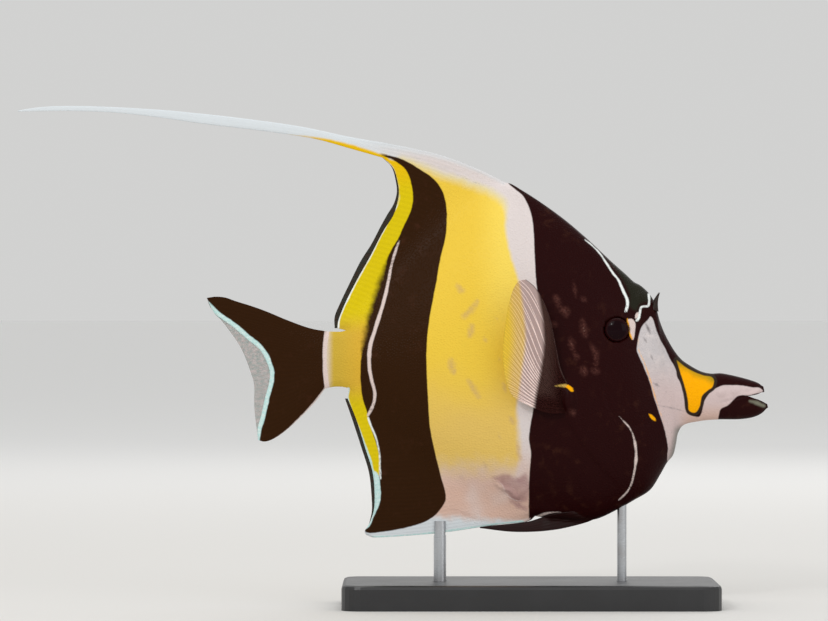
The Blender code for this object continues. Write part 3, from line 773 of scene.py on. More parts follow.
    scuff: Marks = (
        Stroke(((8.0, 99.0), (8.8, 97.6), (9.5, 96.0)), (0.2, 0.6, 0.3)),
        Stroke(((10.2, 95.0), (11.4, 94.4), (11.6, 92.8)), (0.4, 0.6, 0.2)),
        Stroke(((7.2, 90.6), (8.2, 90.0)), (0.1, 0.3, 0.1)),
        Stroke(((16.9, 91.2), (17.2, 88.6), (17.7, 86.4)), (0.2, 0.8, 0.2)),
        Stroke(((16.8, 98.4), (17.4, 98.0)), (0.0, 0.2, 0.0)),
        Stroke(((13.0, 85.6), (13.4, 83.8), (13.9, 82.4)), (0.2, 0.7, 0.2)),
        Stroke(((19.8, 83.2), (21.0, 81.2), (21.4, 79.2), (21.2, 77.6)), (0.1, 0.5, 0.2)),
        Stroke(((14.6, 80.4), (15.2, 79.4)), (0.1, 0.4, 0.1)),
        Stroke(((20.2, 75.6), (21.8, 75.0)), (0.2, 0.7, 0.3)),
        Stroke(((16.8, 76.0), (17.6, 74.4)), (0.3, 0.8, 0.4)),
        Stroke(((13.2, 62.6), (14.0, 61.6)), (0.2, 0.6, 0.2)),
        Stroke(((14.0, 104.0), (14.6, 99.0)), (-0.3, -0.1, -0.3)),
    )
    lemon: Marks = (
        Patch(((-48.6, 143.9), (-45.0, 143.0), (-41.0, 141.6), (-37.0, 136.5), (-34.0, 128.0),
               (-36.0, 115.0), (-41.0, 104.0), (-43.0, 90.0), (-43.0, 75.0), (-42.0, 60.0), (-42.0, 45.0),
               (-44.0, 37.0)), ((-52.0, 32.0), (-75.0, 32.0), (-75.0, 110.0), (-50.0, 140.0))),
        Stroke(((-78.0, 150.9), (-70.0, 149.9), (-64.0, 148.6), (-57.6, 146.9), (-51.8, 145.0),
                (-46.4, 143.2)), (-0.2, 0.7, 1.0)),
    )
    brow: Patch = Patch(
        ((20.0, 116.8), (24.0, 112.0), (27.6, 107.4), (30.2, 103.0), (31.8, 99.4), (31.8, 95.8),
         (34.0, 94.4), (35.4, 96.4), (38.4, 97.6), (39.8, 100.0), (37.4, 102.4), (34.0, 104.6),
         (28.0, 110.0)),
    )
    smudge_and_crease_shadow: Marks = (
        Stroke(((37.0, 90.6), (37.9, 88.6), (38.5, 87.2)), (0.1, 0.5, 0.1)),
        Stroke(((36.4, 86.0), (37.4, 84.2)), (0.0, 0.3, 0.0)),
        Stroke(((39.6, 71.4), (40.5, 70.8), (41.4, 70.3)), (0.1, 0.5, 0.1)),
        Stroke(((38.6, 80.6), (39.4, 78.6)), (-0.1, 0.2, -0.1)),
        # Painted shadow: the thin dark line in the crease across the face
        Stroke(((40.6, 64.3), (44.8, 63.5), (50.4, 62.1)), (0.05, 0.15, 0.0)),
    )
    # Painted highlight: the grey-green shine on the lower lip
    lip_highlight: Marks = (
        Stroke(((70.4, 65.6), (72.6, 65.0), (75.0, 64.0)), (0.2, 0.6, 0.4)),
    )
    vein: Marks = (
        Stroke(((-25.0, 142.2), (-19.2, 140.1), (-14.1, 137.8), (-8.0, 134.9)), (0.0, 0.12, 0.0)),
        Stroke(((-33.0, 143.2), (-26.0, 140.6), (-20.0, 138.2)), (-0.1, 0.1, -0.1)),
        Stroke(((-30.0, 141.0), (-23.0, 138.0), (-15.0, 134.6)), (-0.1, 0.1, -0.1)),
        Stroke(((-40.0, 144.6), (-33.0, 142.0), (-28.0, 139.6)), (-0.1, 0.05, -0.1)),
        Stroke(((-20.6, 137.0), (-14.0, 134.0)), (-0.1, 0.1, -0.2)),
    )
    # Painted sheen: a bluish-white band along the dorsal fin's leading edge
    crest_sheen: Stroke = Stroke(
        ((-8.5, 135.6), (-16.0, 139.4), (-27.8, 143.9), (-35.2, 145.8), (-47.0, 148.2),
         (-57.6, 150.0), (-72.6, 153.2)), (0.2, 1.1, 0.8))
    tint: Stroke = Stroke(
        ((35.2, 88.0), (34.6, 82.9), (36.8, 77.4), (38.7, 71.7), (40.3, 66.2), (41.9, 61.4),
         (43.2, 57.0)), (0.0, 0.2, 0.0))

    def depths(self, at: Array) -> dict[str, Array]:
        """Depth inside each kind of marking.

        Args:
            at: Side view places in millimetres.

        Returns:
            Named numbers for each place, negative outside the marking.
        """
        depths = {}
        for kind in fields(self):
            marks = getattr(self, kind.name)
            marks = marks if isinstance(marks, tuple) else (marks,)
            depths[kind.name] = np.max([mark.depth(at) for mark in marks], axis=0)
        x, z = at.T
        # The rear band's edge is blurred where the lemon strip meets it
        blurred = (1 - ease(-46.5, -43.0, x)) * ease(76.0, 84.0, z) * (1 - ease(108.0, 116.0, z))
        rear = depths.pop("rear") * (1 - 0.83 * blurred)
        depths["black"] = np.maximum.reduce([depths.pop("head"), rear, depths.pop("tail")])
        # The yellow band's front edge is sharp, except high and low, and it fades out below
        sharp = 1 + 1.2 * ease(-16.0, -9.0, x) * (1 - ease(124.0, 130.0, z))
        sharp = sharp * (0.5 + 0.5 * ease(54.0, 68.0, z))
        depths["yellow"] = np.minimum(depths["yellow"] * sharp, (z - 44.0) * 0.33)
        return depths


def mark_piece(piece: Object, markings: Markings) -> None:
    """Stores the markings' fields on a mesh."""
    for key, values in markings.depths(flattened(vertices_of(piece.data))).items():
        put_field(piece.data, key, values)


# Materials


class Nodes:
    """A node tree under construction, with short ways to add its nodes."""

    def __init__(self, tree: bpy.types.NodeTree) -> None:
        """Keeps the tree that the nodes go into.

        Args:
            tree: The tree.
        """
        self.tree = tree

    def put(self, kind: str, settings: dict[str, Any] | None = None, **feeds: Any) -> Node:
        """New node with settings and what feeds its inputs, named with _ for spaces.

        Args:
            kind: Type of the node.
            settings: Values of the node's own properties.
            **feeds: An output, another node or a value for each input.

        Returns:
            The node.
        """
        node = self.tree.nodes.new(kind)
        for key, value in (settings or {}).items():
            setattr(node, key, value)
        for key, value in feeds.items():
            self.feed(node.inputs[key.replace("_", " ")], value)
        return node

    def feed(self, socket: NodeSocket, value: Any) -> None:
        """Links an output or a node's first output to a socket, or sets the socket's value.

        Args:
            socket: The input.
            value: What it gets.
        """
        if isinstance(value, Node):
            value = value.outputs[0]
        if isinstance(value, NodeSocket):
            self.tree.links.new(value, socket)
        else:
            socket.default_value = value.linear if isinstance(value, Tint) else value

    def math(self, kind: str, first: Any, second: Any = 0.0) -> NodeSocket:
        """Result of one arithmetic step.

        Args:
            kind: Name of the step.
            first: First number.
            second: Second number.

        Returns:
            The result.
        """
        node = self.put("ShaderNodeMath", {"operation": kind})
        self.feed(node.inputs[0], first)
        self.feed(node.inputs[1], second)
        return node.outputs[0]

    def times(self, first: Any, second: Any) -> NodeSocket:
        """Product of two numbers."""
        return self.math("MULTIPLY", first, second)

    def plus(self, first: Any, second: Any) -> NodeSocket:
        """Sum of two numbers."""
        return self.math("ADD", first, second)


class Graph(Nodes):
    """A material under construction."""

    def __init__(self, name: str) -> None:
        """Starts a material that holds a lone surface shader.

        Args:
            name: Name of the finish.
        """
        self.material = bpy.data.materials.new(name)
        self.material.use_nodes = True
        super().__init__(self.material.node_tree)
        self.shader = self.tree.nodes["Principled BSDF"]
        self.place = self.put("ShaderNodeTexCoord").outputs["Object"]

    def field(self, key: str) -> NodeSocket:
        """The stored number of that name."""
        return self.put("ShaderNodeAttribute", {"attribute_name": key}).outputs["Fac"]

    def step(self, value: Any, low: float, high: float) -> NodeSocket:
        """Smooth step of a value from 0 at low to 1 at high.

        Args:
            value: The value.
            low: Where the step starts.
            high: Where it ends.

        Returns:
            The step.
        """
        node = self.put("ShaderNodeMapRange", {"interpolation_type": "SMOOTHSTEP"}, Value=value,
                        From_Min=low, From_Max=high)
        return node.outputs["Result"]

    def blend(self, share: Any, first: Any, second: Any) -> NodeSocket:
        """Mix of two colours."""
        node = self.put("ShaderNodeMix", {"data_type": "RGBA"}, Factor=share, A=first, B=second)
        return node.outputs["Result"]

    def noise(self, size_mm: float, detail: float = 3.0, rough: float = 0.55,
              vector: Any = None) -> NodeSocket:
        """Noise with features of about that size.

        Args:
            size_mm: Size of the broadest features.
            detail: Number of finer layers.
            rough: Strength of each layer next to the one before.
            vector: Place to read, if not the object's own.

        Returns:
            A number between 0 and 1.
        """
        node = self.put("ShaderNodeTexNoise", Vector=vector or self.place,
                        Scale=1 / (size_mm * MM), Detail=detail, Roughness=rough)
        return node.outputs["Fac"]

    def cells(self, size_mm: float, stretch: tuple[float, float, float]) -> NodeSocket:
        """Distance from the middle of cells of about that size.

        Args:
            size_mm: Size of the cells.
            stretch: Scale along each axis.

        Returns:
            The distance.
        """
        turn = self.put("ShaderNodeMapping", Vector=self.place, Scale=stretch)
        node = self.put("ShaderNodeTexVoronoi", Vector=turn, Scale=1 / (size_mm * MM))
        return node.outputs["Distance"]

    def axis(self, which: str) -> NodeSocket:
        """One coordinate of the object's own space."""
        return self.put("ShaderNodeSeparateXYZ", Vector=self.place).outputs[which]

    def fade(self, which: str, ends: Fade) -> NodeSocket:
        """Smooth step along one coordinate of the object's own space."""
        return self.step(self.axis(which), *ends)

    def bump(self, height: Any, depth_mm: float, under: Any = None) -> NodeSocket:
        """Normal raised by a height.

        Args:
            height: The height, from 0 to 1.
            depth_mm: How far a height of 1 stands up.
            under: Normal that it is laid over.

        Returns:
            The new normal.
        """
        node = self.put("ShaderNodeBump", Height=height, Strength=1.0, Distance=depth_mm * MM)
        if under is not None:
            self.feed(node.inputs["Normal"], under)
        return node.outputs[0]

    def dress(self, **values: Any) -> Material:
        """Feeds the surface shader's sockets, named with _ for spaces.

        Args:
            **values: Colour, number or output for each socket.

        Returns:
            The finished material.
        """
        for key, value in values.items():
            self.feed(self.shader.inputs[key.replace("_", " ")], value)
        return self.material


class SkinGraph(Graph):
    """The skin's material under construction, with the noises that its tones share."""

    def __init__(self, name: str, edge: float) -> None:
        """Starts the material.

        Args:
            name: Name of the finish.
            edge: Half width, in millimetres, of a marking's soft edge.
        """
        super().__init__(name)
        self.edge = edge
        self.broad = self.noise(14.0, 2.0)
        self.middle = self.noise(3.0, 4.0)
        self.fine = self.noise(0.7, 3.0, 0.7)
        self.ragged = self.times(self.math("SUBTRACT", self.middle, 0.5), 1.1)

    def mark(self, key: str, gain: float = 0.4, ends: Fade | None = None) -> NodeSocket:
        """Share of a marking at each place, with an uneven edge.

        Args:
            key: Name of the marking's stored depth.
            gain: How far the edge wanders, in millimetres.
            ends: Depths at which the marking starts and is full, if not the usual edge.

        Returns:
            The share, from 0 to 1.
        """
        depth = self.plus(self.field(key), self.times(self.ragged, gain))
        return self.step(depth, *(ends or (-self.edge, self.edge)))


@dataclass(frozen=True)
class SkinFinish:
    """The fish's skin: moist, finely scaled, in bands of black, white and yellow.

    Each fade along X or Z is in metres, as the object's own coordinates are.
    """

    name: str = "fish_skin"
    roughness: float = 0.33
    grain_mm: float = 0.55
    grain_depth: float = 0.03
    ray_depth: float = 0.035
    edge: float = 0.22
    belly_blush_z: Fade = (0.056, 0.036)
    keel_z: Fade = (0.0302, 0.0270)
    keel_slope: float = 0.06
    rear_white_x: Fade = (-0.030, -0.060)
    cream_z: Fade = (0.118, 0.130)
    ochre_z: Fade = (0.085, 0.050)
    sunlit_x: Fade = (-0.020, -0.006)
    sunlit_z: Fade = (0.080, 0.100)
    amber_x: Fade = (-0.064, -0.052)
    root_rim_x: Fade = (-0.0625, -0.0655)
    root_z: float = 0.079
    lemon_off_root: Fade = (0.007, 0.016)
    golden_top_z: Fade = (0.131, 0.143)
    front_brown_x: Fade = (-0.020, 0.0)
    low_face_z: Fade = (0.082, 0.066)
    snout_blush_z: Fade = (0.066, 0.060)
    snout_blush_x: Fade = (0.046, 0.052)
    # Where the throat's partly painted shade falls
    throat_shade_z: Fade = (0.0590, 0.0560)
    throat_shade_edge: Fade = (0.0335, 0.0365)
    throat_shade_slope: float = -0.2
    olive_edge: Fade = (0.0990, 0.1030)
    olive_slope: float = 0.49

    def build(self) -> Material:
        """Makes the material.

        Returns:
            The material.
        """
        g = SkinGraph(self.name, self.edge)
        colour = self._lines(g, self._face(g, self._blacks(g, self._ground(g))))
        ray = self._rays(g)
        shade = g.times(ray, g.times(g.field("ray_gain"), 0.05))
        colour = g.blend(shade, colour, (0.0, 0.0, 0.0, 1.0))
        rough = g.plus(self.roughness, g.times(g.fine, 0.16))
        rough = g.math("SUBTRACT", rough, g.times(g.mark("black", 0.35), 0.03))
        normal = g.bump(g.cells(self.grain_mm, (0.8, 1.0, 1.0)), self.grain_depth)
        normal = g.bump(g.middle, 0.06, normal)
        normal = g.bump(g.times(ray, g.field("ray_gain")), -self.ray_depth, normal)
        return g.dress(
            Base_Color=colour, Roughness=rough, Normal=normal, IOR=1.4,
            Specular_IOR_Level=0.06, Coat_Weight=0.02, Coat_Roughness=0.25,
        )

    def _ground(self, g: SkinGraph) -> NodeSocket:
        """White, yellow and gold under the bands, with a painted sheen and a painted fold shadow.

        Args:
            g: The skin's material.

        Returns:
            The colour.
        """
        height = g.axis("Z")
        blush = g.times(g.step(height, *self.belly_blush_z), g.step(g.broad, 0.1, 0.6))
        white = g.blend(blush, Tint.WHITE, Tint.BLUSH)
        keel = g.plus(height, g.times(g.middle, 0.0035))
        keel = g.plus(keel, g.times(g.axis("X"), self.keel_slope))
        white = g.blend(g.step(keel, *self.keel_z), white, Tint.FILAMENT)
        white = g.blend(g.fade("X", self.rear_white_x), white, Tint.FILAMENT)
        # Painted sheen along the dorsal fin's leading edge, in the streamer's bluish white
        white = g.blend(g.times(g.mark("crest_sheen", 0.8, (-1.2, 0.8)), 0.7), white, Tint.FILAMENT)
        cream = g.times(g.mark("yellow", 1.4, (-3.2, -0.5)), g.fade("Z", self.cream_z))
        white = g.blend(cream, white, Tint.CREAM)
        white = g.blend(g.times(g.mark("vein", 0.3, (-0.25, 0.2)), 0.7), white, Tint.VEIN)
        deep = g.plus(g.step(height, *self.ochre_z), g.times(g.broad, 0.4))
        yellow = g.blend(g.step(deep, 0.2, 1.2), Tint.YELLOW, Tint.OCHRE)
        sunlit = g.times(g.fade("X", self.sunlit_x), g.fade("Z", self.sunlit_z))
        yellow = g.blend(g.times(sunlit, 0.8), yellow, Tint.SUNLIT)
        colour = g.blend(g.mark("yellow", 1.6, (-1.8, 1.8)), white, yellow)
        stain = g.times(g.mark("stain", 1.8, (-0.7, 0.9)), g.plus(0.05, g.times(g.fine, 0.6)))
        colour = g.blend(stain, colour, Tint.STAIN)
        # The mauve fold by the vent, with a painted shadow under it
        fold_and_shadow = g.times(g.mark("fold_and_shadow", 1.4, (-0.9, 0.8)), g.plus(0.35, g.times(g.middle, 0.7)))
        colour = g.blend(fold_and_shadow, colour, Tint.FOLD_AND_SHADOW)
        colour = g.blend(g.mark("lemon", 0.6, (-0.5, 0.4)), colour, self._gold(g))
        return g.blend(g.step(g.fine, 0.55, 0.9), colour, g.blend(0.12, colour, Tint.OCHRE))

    def _gold(self, g: SkinGraph) -> NodeSocket:
        """Amber tail root, lemon strips beside it and the golden top of the dorsal fin.

        Args:
            g: The skin's material.

        Returns:
            The colour.
        """
        root = g.blend(g.fade("X", self.amber_x), Tint.GOLD, Tint.AMBER)
        root = g.blend(g.times(g.fade("X", self.root_rim_x), 0.7), root, Tint.WHITE)
        off_root = g.math("ABSOLUTE", g.math("SUBTRACT", g.axis("Z"), self.root_z))
        gold = g.blend(g.step(off_root, *self.lemon_off_root), root, Tint.LEMON)
        return g.blend(g.fade("Z", self.golden_top_z), gold, Tint.GOLD_TOP)

    def _blacks(self, g: SkinGraph, ground: NodeSocket) -> NodeSocket:
        """The dark bands, the head and the tail, with faint mottling and scuffs.

        Args:
            g: The skin's material.
            ground: Colour under the bands.

        Returns:
            The colour.
        """
        brown = g.blend(g.fade("X", self.front_brown_x), Tint.REAR_BROWN, Tint.FRONT_BROWN)
        mottle = g.times(g.step(g.middle, 0.52, 0.75), g.step(g.broad, 0.35, 0.7))
        brown = g.blend(g.times(mottle, 0.4), brown, Tint.BROWN_MOTTLE)
        brown = g.blend(g.mark("brow", 0.8, (-0.6, 0.9)), brown, Tint.BROW)
        colour = g.blend(g.mark("black", 0.35), ground, brown)
        worn = g.times(g.mark("scuff", 1.5, (-1.3, 0.8)), g.step(g.fine, 0.2, 0.85))
        colour = g.blend(worn, colour, Tint.SCAR)
        bare = g.times(g.mark("scuff", 1.5, (0.35, 0.9)), g.step(g.fine, 0.3, 0.8))
        return g.blend(g.times(bare, 0.45), colour, Tint.BLUSH)

    def _face(self, g: SkinGraph, colour: NodeSocket) -> NodeSocket:
        """White face and snout with grey speckles, painted shade at the throat and in a crease, and the
        orange saddle in its black ring.

        Args:
            g: The skin's material.
            colour: Colour of the rest.

        Returns:
            The colour.
        """
        height = g.axis("Z")
        white = g.blend(g.step(g.middle, 0.4, 0.9), Tint.FACE, Tint.WHITE)
        white = g.blend(g.step(height, *self.low_face_z), white, Tint.LOW_FACE)
        white = g.blend(g.times(g.step(g.fine, 0.66, 0.74), 0.6), white, Tint.SPECKLE_AND_CREASE_SHADOW)
        low = g.times(g.step(height, *self.snout_blush_z), g.fade("X", self.snout_blush_x))
        white = g.blend(g.times(low, 0.75), white, Tint.BLUSH)
        # Painted shade along the throat's lower edge, partly the throat's own grey-green tone
        throat_tone_and_shade = g.step(g.plus(g.axis("X"), g.times(height, self.throat_shade_slope)), *self.throat_shade_edge)
        throat_tone_and_shade = g.times(throat_tone_and_shade, g.step(height, *self.throat_shade_z))
        white = g.blend(g.times(throat_tone_and_shade, 0.8), white, Tint.THROAT_TONE_AND_SHADE)
        # Grey smudges, and a painted shadow line in the crease across the face
        smudge_and_crease_shadow = g.times(g.mark("smudge_and_crease_shadow", 1.0, (-0.4, 0.5)), g.plus(0.35, g.times(g.fine, 1.0)))
        white = g.blend(smudge_and_crease_shadow, white, Tint.SPECKLE_AND_CREASE_SHADOW)
        colour = g.blend(g.mark("face", 0.45), colour, white)
        colour = g.blend(g.times(g.mark("tint", 0.5), 0.7), colour, Tint.ORANGE)
        colour = g.blend(g.mark("saddle", 0.3, (-1.35, -0.9)), colour, Tint.JAW)
        upper = g.plus(height, g.times(g.axis("X"), self.olive_slope))
        upper = g.plus(upper, g.times(g.middle, 0.002))
        orange = g.blend(g.step(upper, *self.olive_edge), Tint.ORANGE, Tint.OLIVE)
        return g.blend(g.mark("saddle", 0.3, (-0.3, 0.15)), colour, orange)

    def _lines(self, g: SkinGraph, colour: NodeSocket) -> NodeSocket:
        """The thin pale and orange lines, and the painted highlight on the lower lip.

        Args:
            g: The skin's material.
            colour: Colour under them.

        Returns:
            The colour.
        """
        bluish = g.blend(g.times(g.step(g.fine, 0.4, 0.7), 0.6), Tint.LINE_CYAN, Tint.LINE_WHITE)
        for key, tint, gain in (
            ("pink", Tint.LINE_PINK, 0.5), ("white", Tint.LINE_WHITE, 0.4),
            ("cyan", bluish, 0.55), ("orange", Tint.ORANGE, 0.6),
        ):
            colour = g.blend(g.mark(key, gain), colour, tint)
        # Painted highlight on the lower lip
        lip_highlight = g.times(g.mark("lip_highlight", 0.8, (-0.5, 0.5)), 0.75)
        return g.blend(lip_highlight, colour, Tint.LIP_HIGHLIGHT)

    def _rays(self, g: SkinGraph) -> NodeSocket:
        """Wave that runs from ray to ray across a fin, 0 on a ray and 1 between two.

        Args:
            g: The skin's material.

        Returns:
            The wave.
        """
        # The node adds its third number, which is 0.5 from the start
        turned = g.times(g.field("ray"), math.tau)
        return g.math("MULTIPLY_ADD", g.math("COSINE", turned), -0.5)


@dataclass(frozen=True)
class FinFinish:
    """A plain surface of a fin or a horn, in two tones that run into each other."""

    name: str
    tint: Tint
    second: Tint
    alpha: float = 1.0
    roughness: float = 0.32
    rougher: float = 0.16
    grain_mm: float = 1.2
    grain_depth: float = 0.03

    def build(self) -> Material:
        """Makes the material.

        Returns:
            The material.
        """
        g = Graph(self.name)
        patches = g.noise(self.grain_mm)
        colour = g.blend(g.step(patches, 0.35, 0.7), self.tint, self.second)
        rough = g.plus(self.roughness, g.times(patches, self.rougher))
        return g.dress(Base_Color=colour, Roughness=rough, Alpha=self.alpha,
                       Specular_IOR_Level=0.2, Normal=g.bump(patches, self.grain_depth))


@dataclass(frozen=True)
class PectoralFinish:
    """Clear fin surface that is pale over the light bands and dark over the black one."""

    name: str
    pale: Tint
    golden: Tint
    dark: Tint
    alpha: float
    hidden_x: Fade = (0.0040, 0.0095)
    hidden_z: Fade = (0.0700, 0.0655)

    def build(self) -> Material:
        """Makes the material.

        Returns:
            The material.
        """
        g = Graph(self.name)
        grain = g.noise(0.8)
        pale = g.blend(g.step(grain, 0.4, 1.2), self.pale, Tint.BLUSH)
        golden = g.blend(g.step(g.field("yellow"), 4.0, 12.0), self.golden, Tint.YELLOW)
        pale = g.blend(g.step(g.field("yellow"), -2.0, 1.5), pale, golden)
        hidden = g.math("MAXIMUM", g.fade("X", self.hidden_x), g.fade("Z", self.hidden_z))
        dark = g.blend(g.times(hidden, 0.8), self.dark, Tint.FRONT_BROWN)
        colour = g.blend(g.step(g.field("black"), -0.6, 1.0), pale, dark)
        colour = g.blend(g.step(g.field("orange"), -0.4, 0.4), colour, Tint.OCHRE)
        return g.dress(Base_Color=colour, Roughness=g.plus(0.5, g.times(grain, 0.2)),
                       Alpha=self.alpha, Specular_IOR_Level=0.0, Normal=g.bump(grain, 0.02))


@dataclass(frozen=True)
class EyeFinish:
    """Wet eye with a round black pupil in a dark brown iris."""

    eye: Eye
    spokes: float = 46.0
    pupil_rim: Fade = (0.99, 1.02)
    eye_rim: Fade = (0.9, 0.98)

    def build(self) -> Material:
        """Makes the material.

        Returns:
            The material.
        """
        g = Graph("wet_eye")
        x = g.math("SUBTRACT", g.axis("X"), self.eye.centre[0] * MM)
        z = g.math("SUBTRACT", g.axis("Z"), self.eye.centre[1] * MM)
        radius = g.math("SQRT", g.plus(g.times(x, x), g.times(z, z)))
        fleck = g.noise(0.35, 4.0, 0.6)
        around = g.times(g.math("ARCTAN2", z, x), self.spokes)
        wave = g.math("SINE", g.plus(around, g.times(fleck, 9.0)))
        iris = g.blend(g.step(wave, -0.2, 1.0), Tint.IRIS, Tint.FRONT_BROWN)
        rim = [share * self.eye.pupil * MM for share in self.pupil_rim]
        colour = g.blend(g.step(radius, *rim), Tint.PUPIL, iris)
        rim = [share * self.eye.radius * MM for share in self.eye_rim]
        colour = g.blend(g.step(radius, *rim), colour, Tint.FRONT_BROWN)
        return g.dress(Base_Color=colour, Roughness=g.step(fleck, -2.0, 6.0), Coat_Weight=0.12,
                       Coat_Roughness=0.03, IOR=1.33, Specular_IOR_Level=0.02,
                       Normal=g.bump(fleck, 0.01))


@dataclass(frozen=True)
class LacquerFinish:
    """Satin black lacquer of the base, with dust and fine rubbing."""

    rubbed: tuple[float, ...] = (0.035, 0.035, 0.038, 1.0)

    def build(self) -> Material:
        """Makes the material.

        Returns:
            The material.
        """
        g = Graph("satin_black_lacquer")
        cloud = g.noise(18.0, 3.0)
        grain = g.noise(0.35, 2.0, 0.7)
        colour = g.blend(g.times(g.step(cloud, 0.4, 0.8), 0.25), Tint.STAND, self.rubbed)
        rough = g.plus(g.times(cloud, 0.18), g.times(grain, 0.12))
        rough = g.plus(rough, 0.28)
        return g.dress(Base_Color=colour, Roughness=rough, Normal=g.bump(grain, 0.015),
                       Coat_Weight=0.2, Coat_Roughness=0.25)


@dataclass(frozen=True)
class SteelFinish:
    """Finely turned steel of the rods."""

    worn: tuple[float, ...] = (0.42, 0.42, 0.43, 1.0)
    ring_stretch: tuple[float, ...] = (0.05, 0.05, 1.0)

    def build(self) -> Material:
        """Makes the material.

        Returns:
            The material.
        """
        g = Graph("turned_steel")
        rings = g.put("ShaderNodeMapping", Vector=g.place, Scale=self.ring_stretch)
        turned = g.noise(0.25, 3.0, 0.6, rings.outputs[0])
        cloud = g.noise(5.0, 2.0)
        colour = g.blend(g.step(cloud, 0.4, 0.8), Tint.STEEL, self.worn)
        rough = g.plus(0.2, g.times(turned, 0.2))
        return g.dress(Base_Color=colour, Metallic=1.0, Roughness=rough,
                       Normal=g.bump(turned, 0.01))


# Geometry nodes


class Grower(Nodes):
    """A geometry node tree under construction, with named inputs."""

    def __init__(self, name: str, inputs: dict[str, str]) -> None:
        """Starts a tree.

        Args:
            name: Name of the tree.
            inputs: Socket type of each named input.
        """
        super().__init__(bpy.data.node_groups.new(name, "GeometryNodeTree"))
        face = self.tree.interface
        face.new_socket("Geometry", in_out="INPUT", socket_type="NodeSocketGeometry")
        face.new_socket("Geometry", in_out="OUTPUT", socket_type="NodeSocketGeometry")
        self.keys = {
            key: face.new_socket(key, in_out="INPUT", socket_type=kind).identifier
            for key, kind in inputs.items()
        }
        self.entry = self.tree.nodes.new("NodeGroupInput")
        self.exit = self.tree.nodes.new("NodeGroupOutput")

    def given(self, key: str) -> NodeSocket:
        """The tree's named input."""
        return self.entry.outputs[key]

    def close(self, geometry: Any, material: NodeSocket) -> None:
        """Ends the tree with plain geometry of one material.

        Args:
            geometry: What the tree has made.
            material: Its material.
        """
        real = self.put("GeometryNodeRealizeInstances", Geometry=geometry)
        dressed = self.put("GeometryNodeSetMaterial", Geometry=real, Material=material)
        self.feed(self.exit.inputs[0], dressed)

    def grow(self, base: Object, values: dict[str, Any]) -> Object:
        """Turns a base object into what the tree makes of it.

        Args:
            base: The object that the tree starts from.
            values: Value of each named input.

        Returns:
            The same object, with the result as its plain mesh.
        """
        modifier = base.modifiers.new("grow", "NODES")
        modifier.node_group = self.tree
        for key, value in values.items():
            modifier[self.keys[key]] = value
        bpy.context.view_layer.update()
        evaluated = base.evaluated_get(bpy.context.evaluated_depsgraph_get())
        made = bpy.data.meshes.new_from_object(evaluated)
        base.modifiers.remove(modifier)
        base.data = made
        made.name = base.name
        return base


def ray_tree() -> Grower:
    """Tree that sweeps a round, jointed fin ray along each line of a mesh.

    Returns:
        The tree.
    """
    g = Grower("fin_rays", {
        "Root Radius": "NodeSocketFloat", "Tip Radius": "NodeSocketFloat",
        "Joint Length": "NodeSocketFloat", "Joint Swell": "NodeSocketFloat",
        "Material": "NodeSocketMaterial",
    })
    lines = g.put("GeometryNodeMeshToCurve", Mesh=g.given("Geometry"))
    fine = g.put("GeometryNodeResampleCurve", {"mode": "LENGTH"}, Curve=lines,
                 Length=g.times(g.given("Joint Length"), RINGS_APART))
    along = g.put("GeometryNodeSplineParameter")
    span = g.math("SUBTRACT", g.given("Tip Radius"), g.given("Root Radius"))
    radius = g.plus(g.given("Root Radius"), g.times(span, along.outputs["Factor"]))
    phase = g.math("DIVIDE", along.outputs["Length"], g.given("Joint Length"))
    wave = g.math("SINE", g.times(phase, math.tau))
    swell = g.plus(1.0, g.times(wave, g.given("Joint Swell")))
    ring = g.put("GeometryNodeCurvePrimitiveCircle", Resolution=6, Radius=1.0)
    tube = g.put("GeometryNodeCurveToMesh", Curve=fine, Profile_Curve=ring, Fill_Caps=True,
                 Scale=g.times(radius, swell))
    g.close(g.put("GeometryNodeSetShadeSmooth", Geometry=tube), g.given("Material"))
    return g


def scale_tree() -> Grower:
    """Tree that lays small overlapping scales on a skin, lifted a little at their free edge.

    Returns:
        The tree.
    """
    g = Grower("scales", {
        "Spacing": "NodeSocketFloat", "Length": "NodeSocketFloat", "Width": "NodeSocketFloat",
        "Height": "NodeSocketFloat", "Lift": "NodeSocketFloat", "Lie": "NodeSocketVector",
        "Seed": "NodeSocketInt", "Material": "NodeSocketMaterial",
    })
    coat = g.put("GeometryNodeInputNamedAttribute", Name="coat")
    points = g.put("GeometryNodeDistributePointsOnFaces", {"distribute_method": "POISSON"},
                   Mesh=g.given("Geometry"), Distance_Min=g.given("Spacing"), Density_Max=4.0e6,
                   Density_Factor=coat, Seed=g.given("Seed"))
    turn = g.put("FunctionNodeAxesToRotation", Primary_Axis=points.outputs["Normal"],
                 Secondary_Axis=g.given("Lie"))
    tilt = g.put("ShaderNodeCombineXYZ", Y=g.times(g.given("Lift"), -1.0))
    tilted = g.put("FunctionNodeRotateRotation", {"rotation_space": "LOCAL"}, Rotation=turn,
                   Rotate_By=g.put("FunctionNodeEulerToRotation", Euler=tilt))
    cone = g.put("GeometryNodeMeshCone", {"fill_type": "NGON"}, Vertices=6, Radius_Top=0.0,
                 Radius_Bottom=0.5, Depth=1.0)
    stored = g.put("GeometryNodeStoreNamedAttribute", {"data_type": "FLOAT_VECTOR"},
                   Geometry=cone, Name="patch", Value=g.put("GeometryNodeInputPosition"))
    size = g.put("ShaderNodeCombineXYZ", X=g.given("Length"), Y=g.given("Width"),
                 Z=g.given("Height"))
    shield = g.put("GeometryNodeTransform", Geometry=stored, Scale=size)
    chance = g.put("FunctionNodeRandomValue", {"data_type": "FLOAT"}, Seed=g.given("Seed"))
    chance.inputs[2].default_value = 0.85
    chance.inputs[3].default_value = 1.15
    laid = g.put("GeometryNodeInstanceOnPoints", Points=points, Instance=shield,
                 Rotation=tilted, Scale=chance.outputs[1])
    g.close(laid, g.given("Material"))
    return g


# The skin


@dataclass
class Flank:
    """The skin's right side, as the coat of scales needs it."""

    points: Array
    faces: Array
    fields: dict[str, Array]


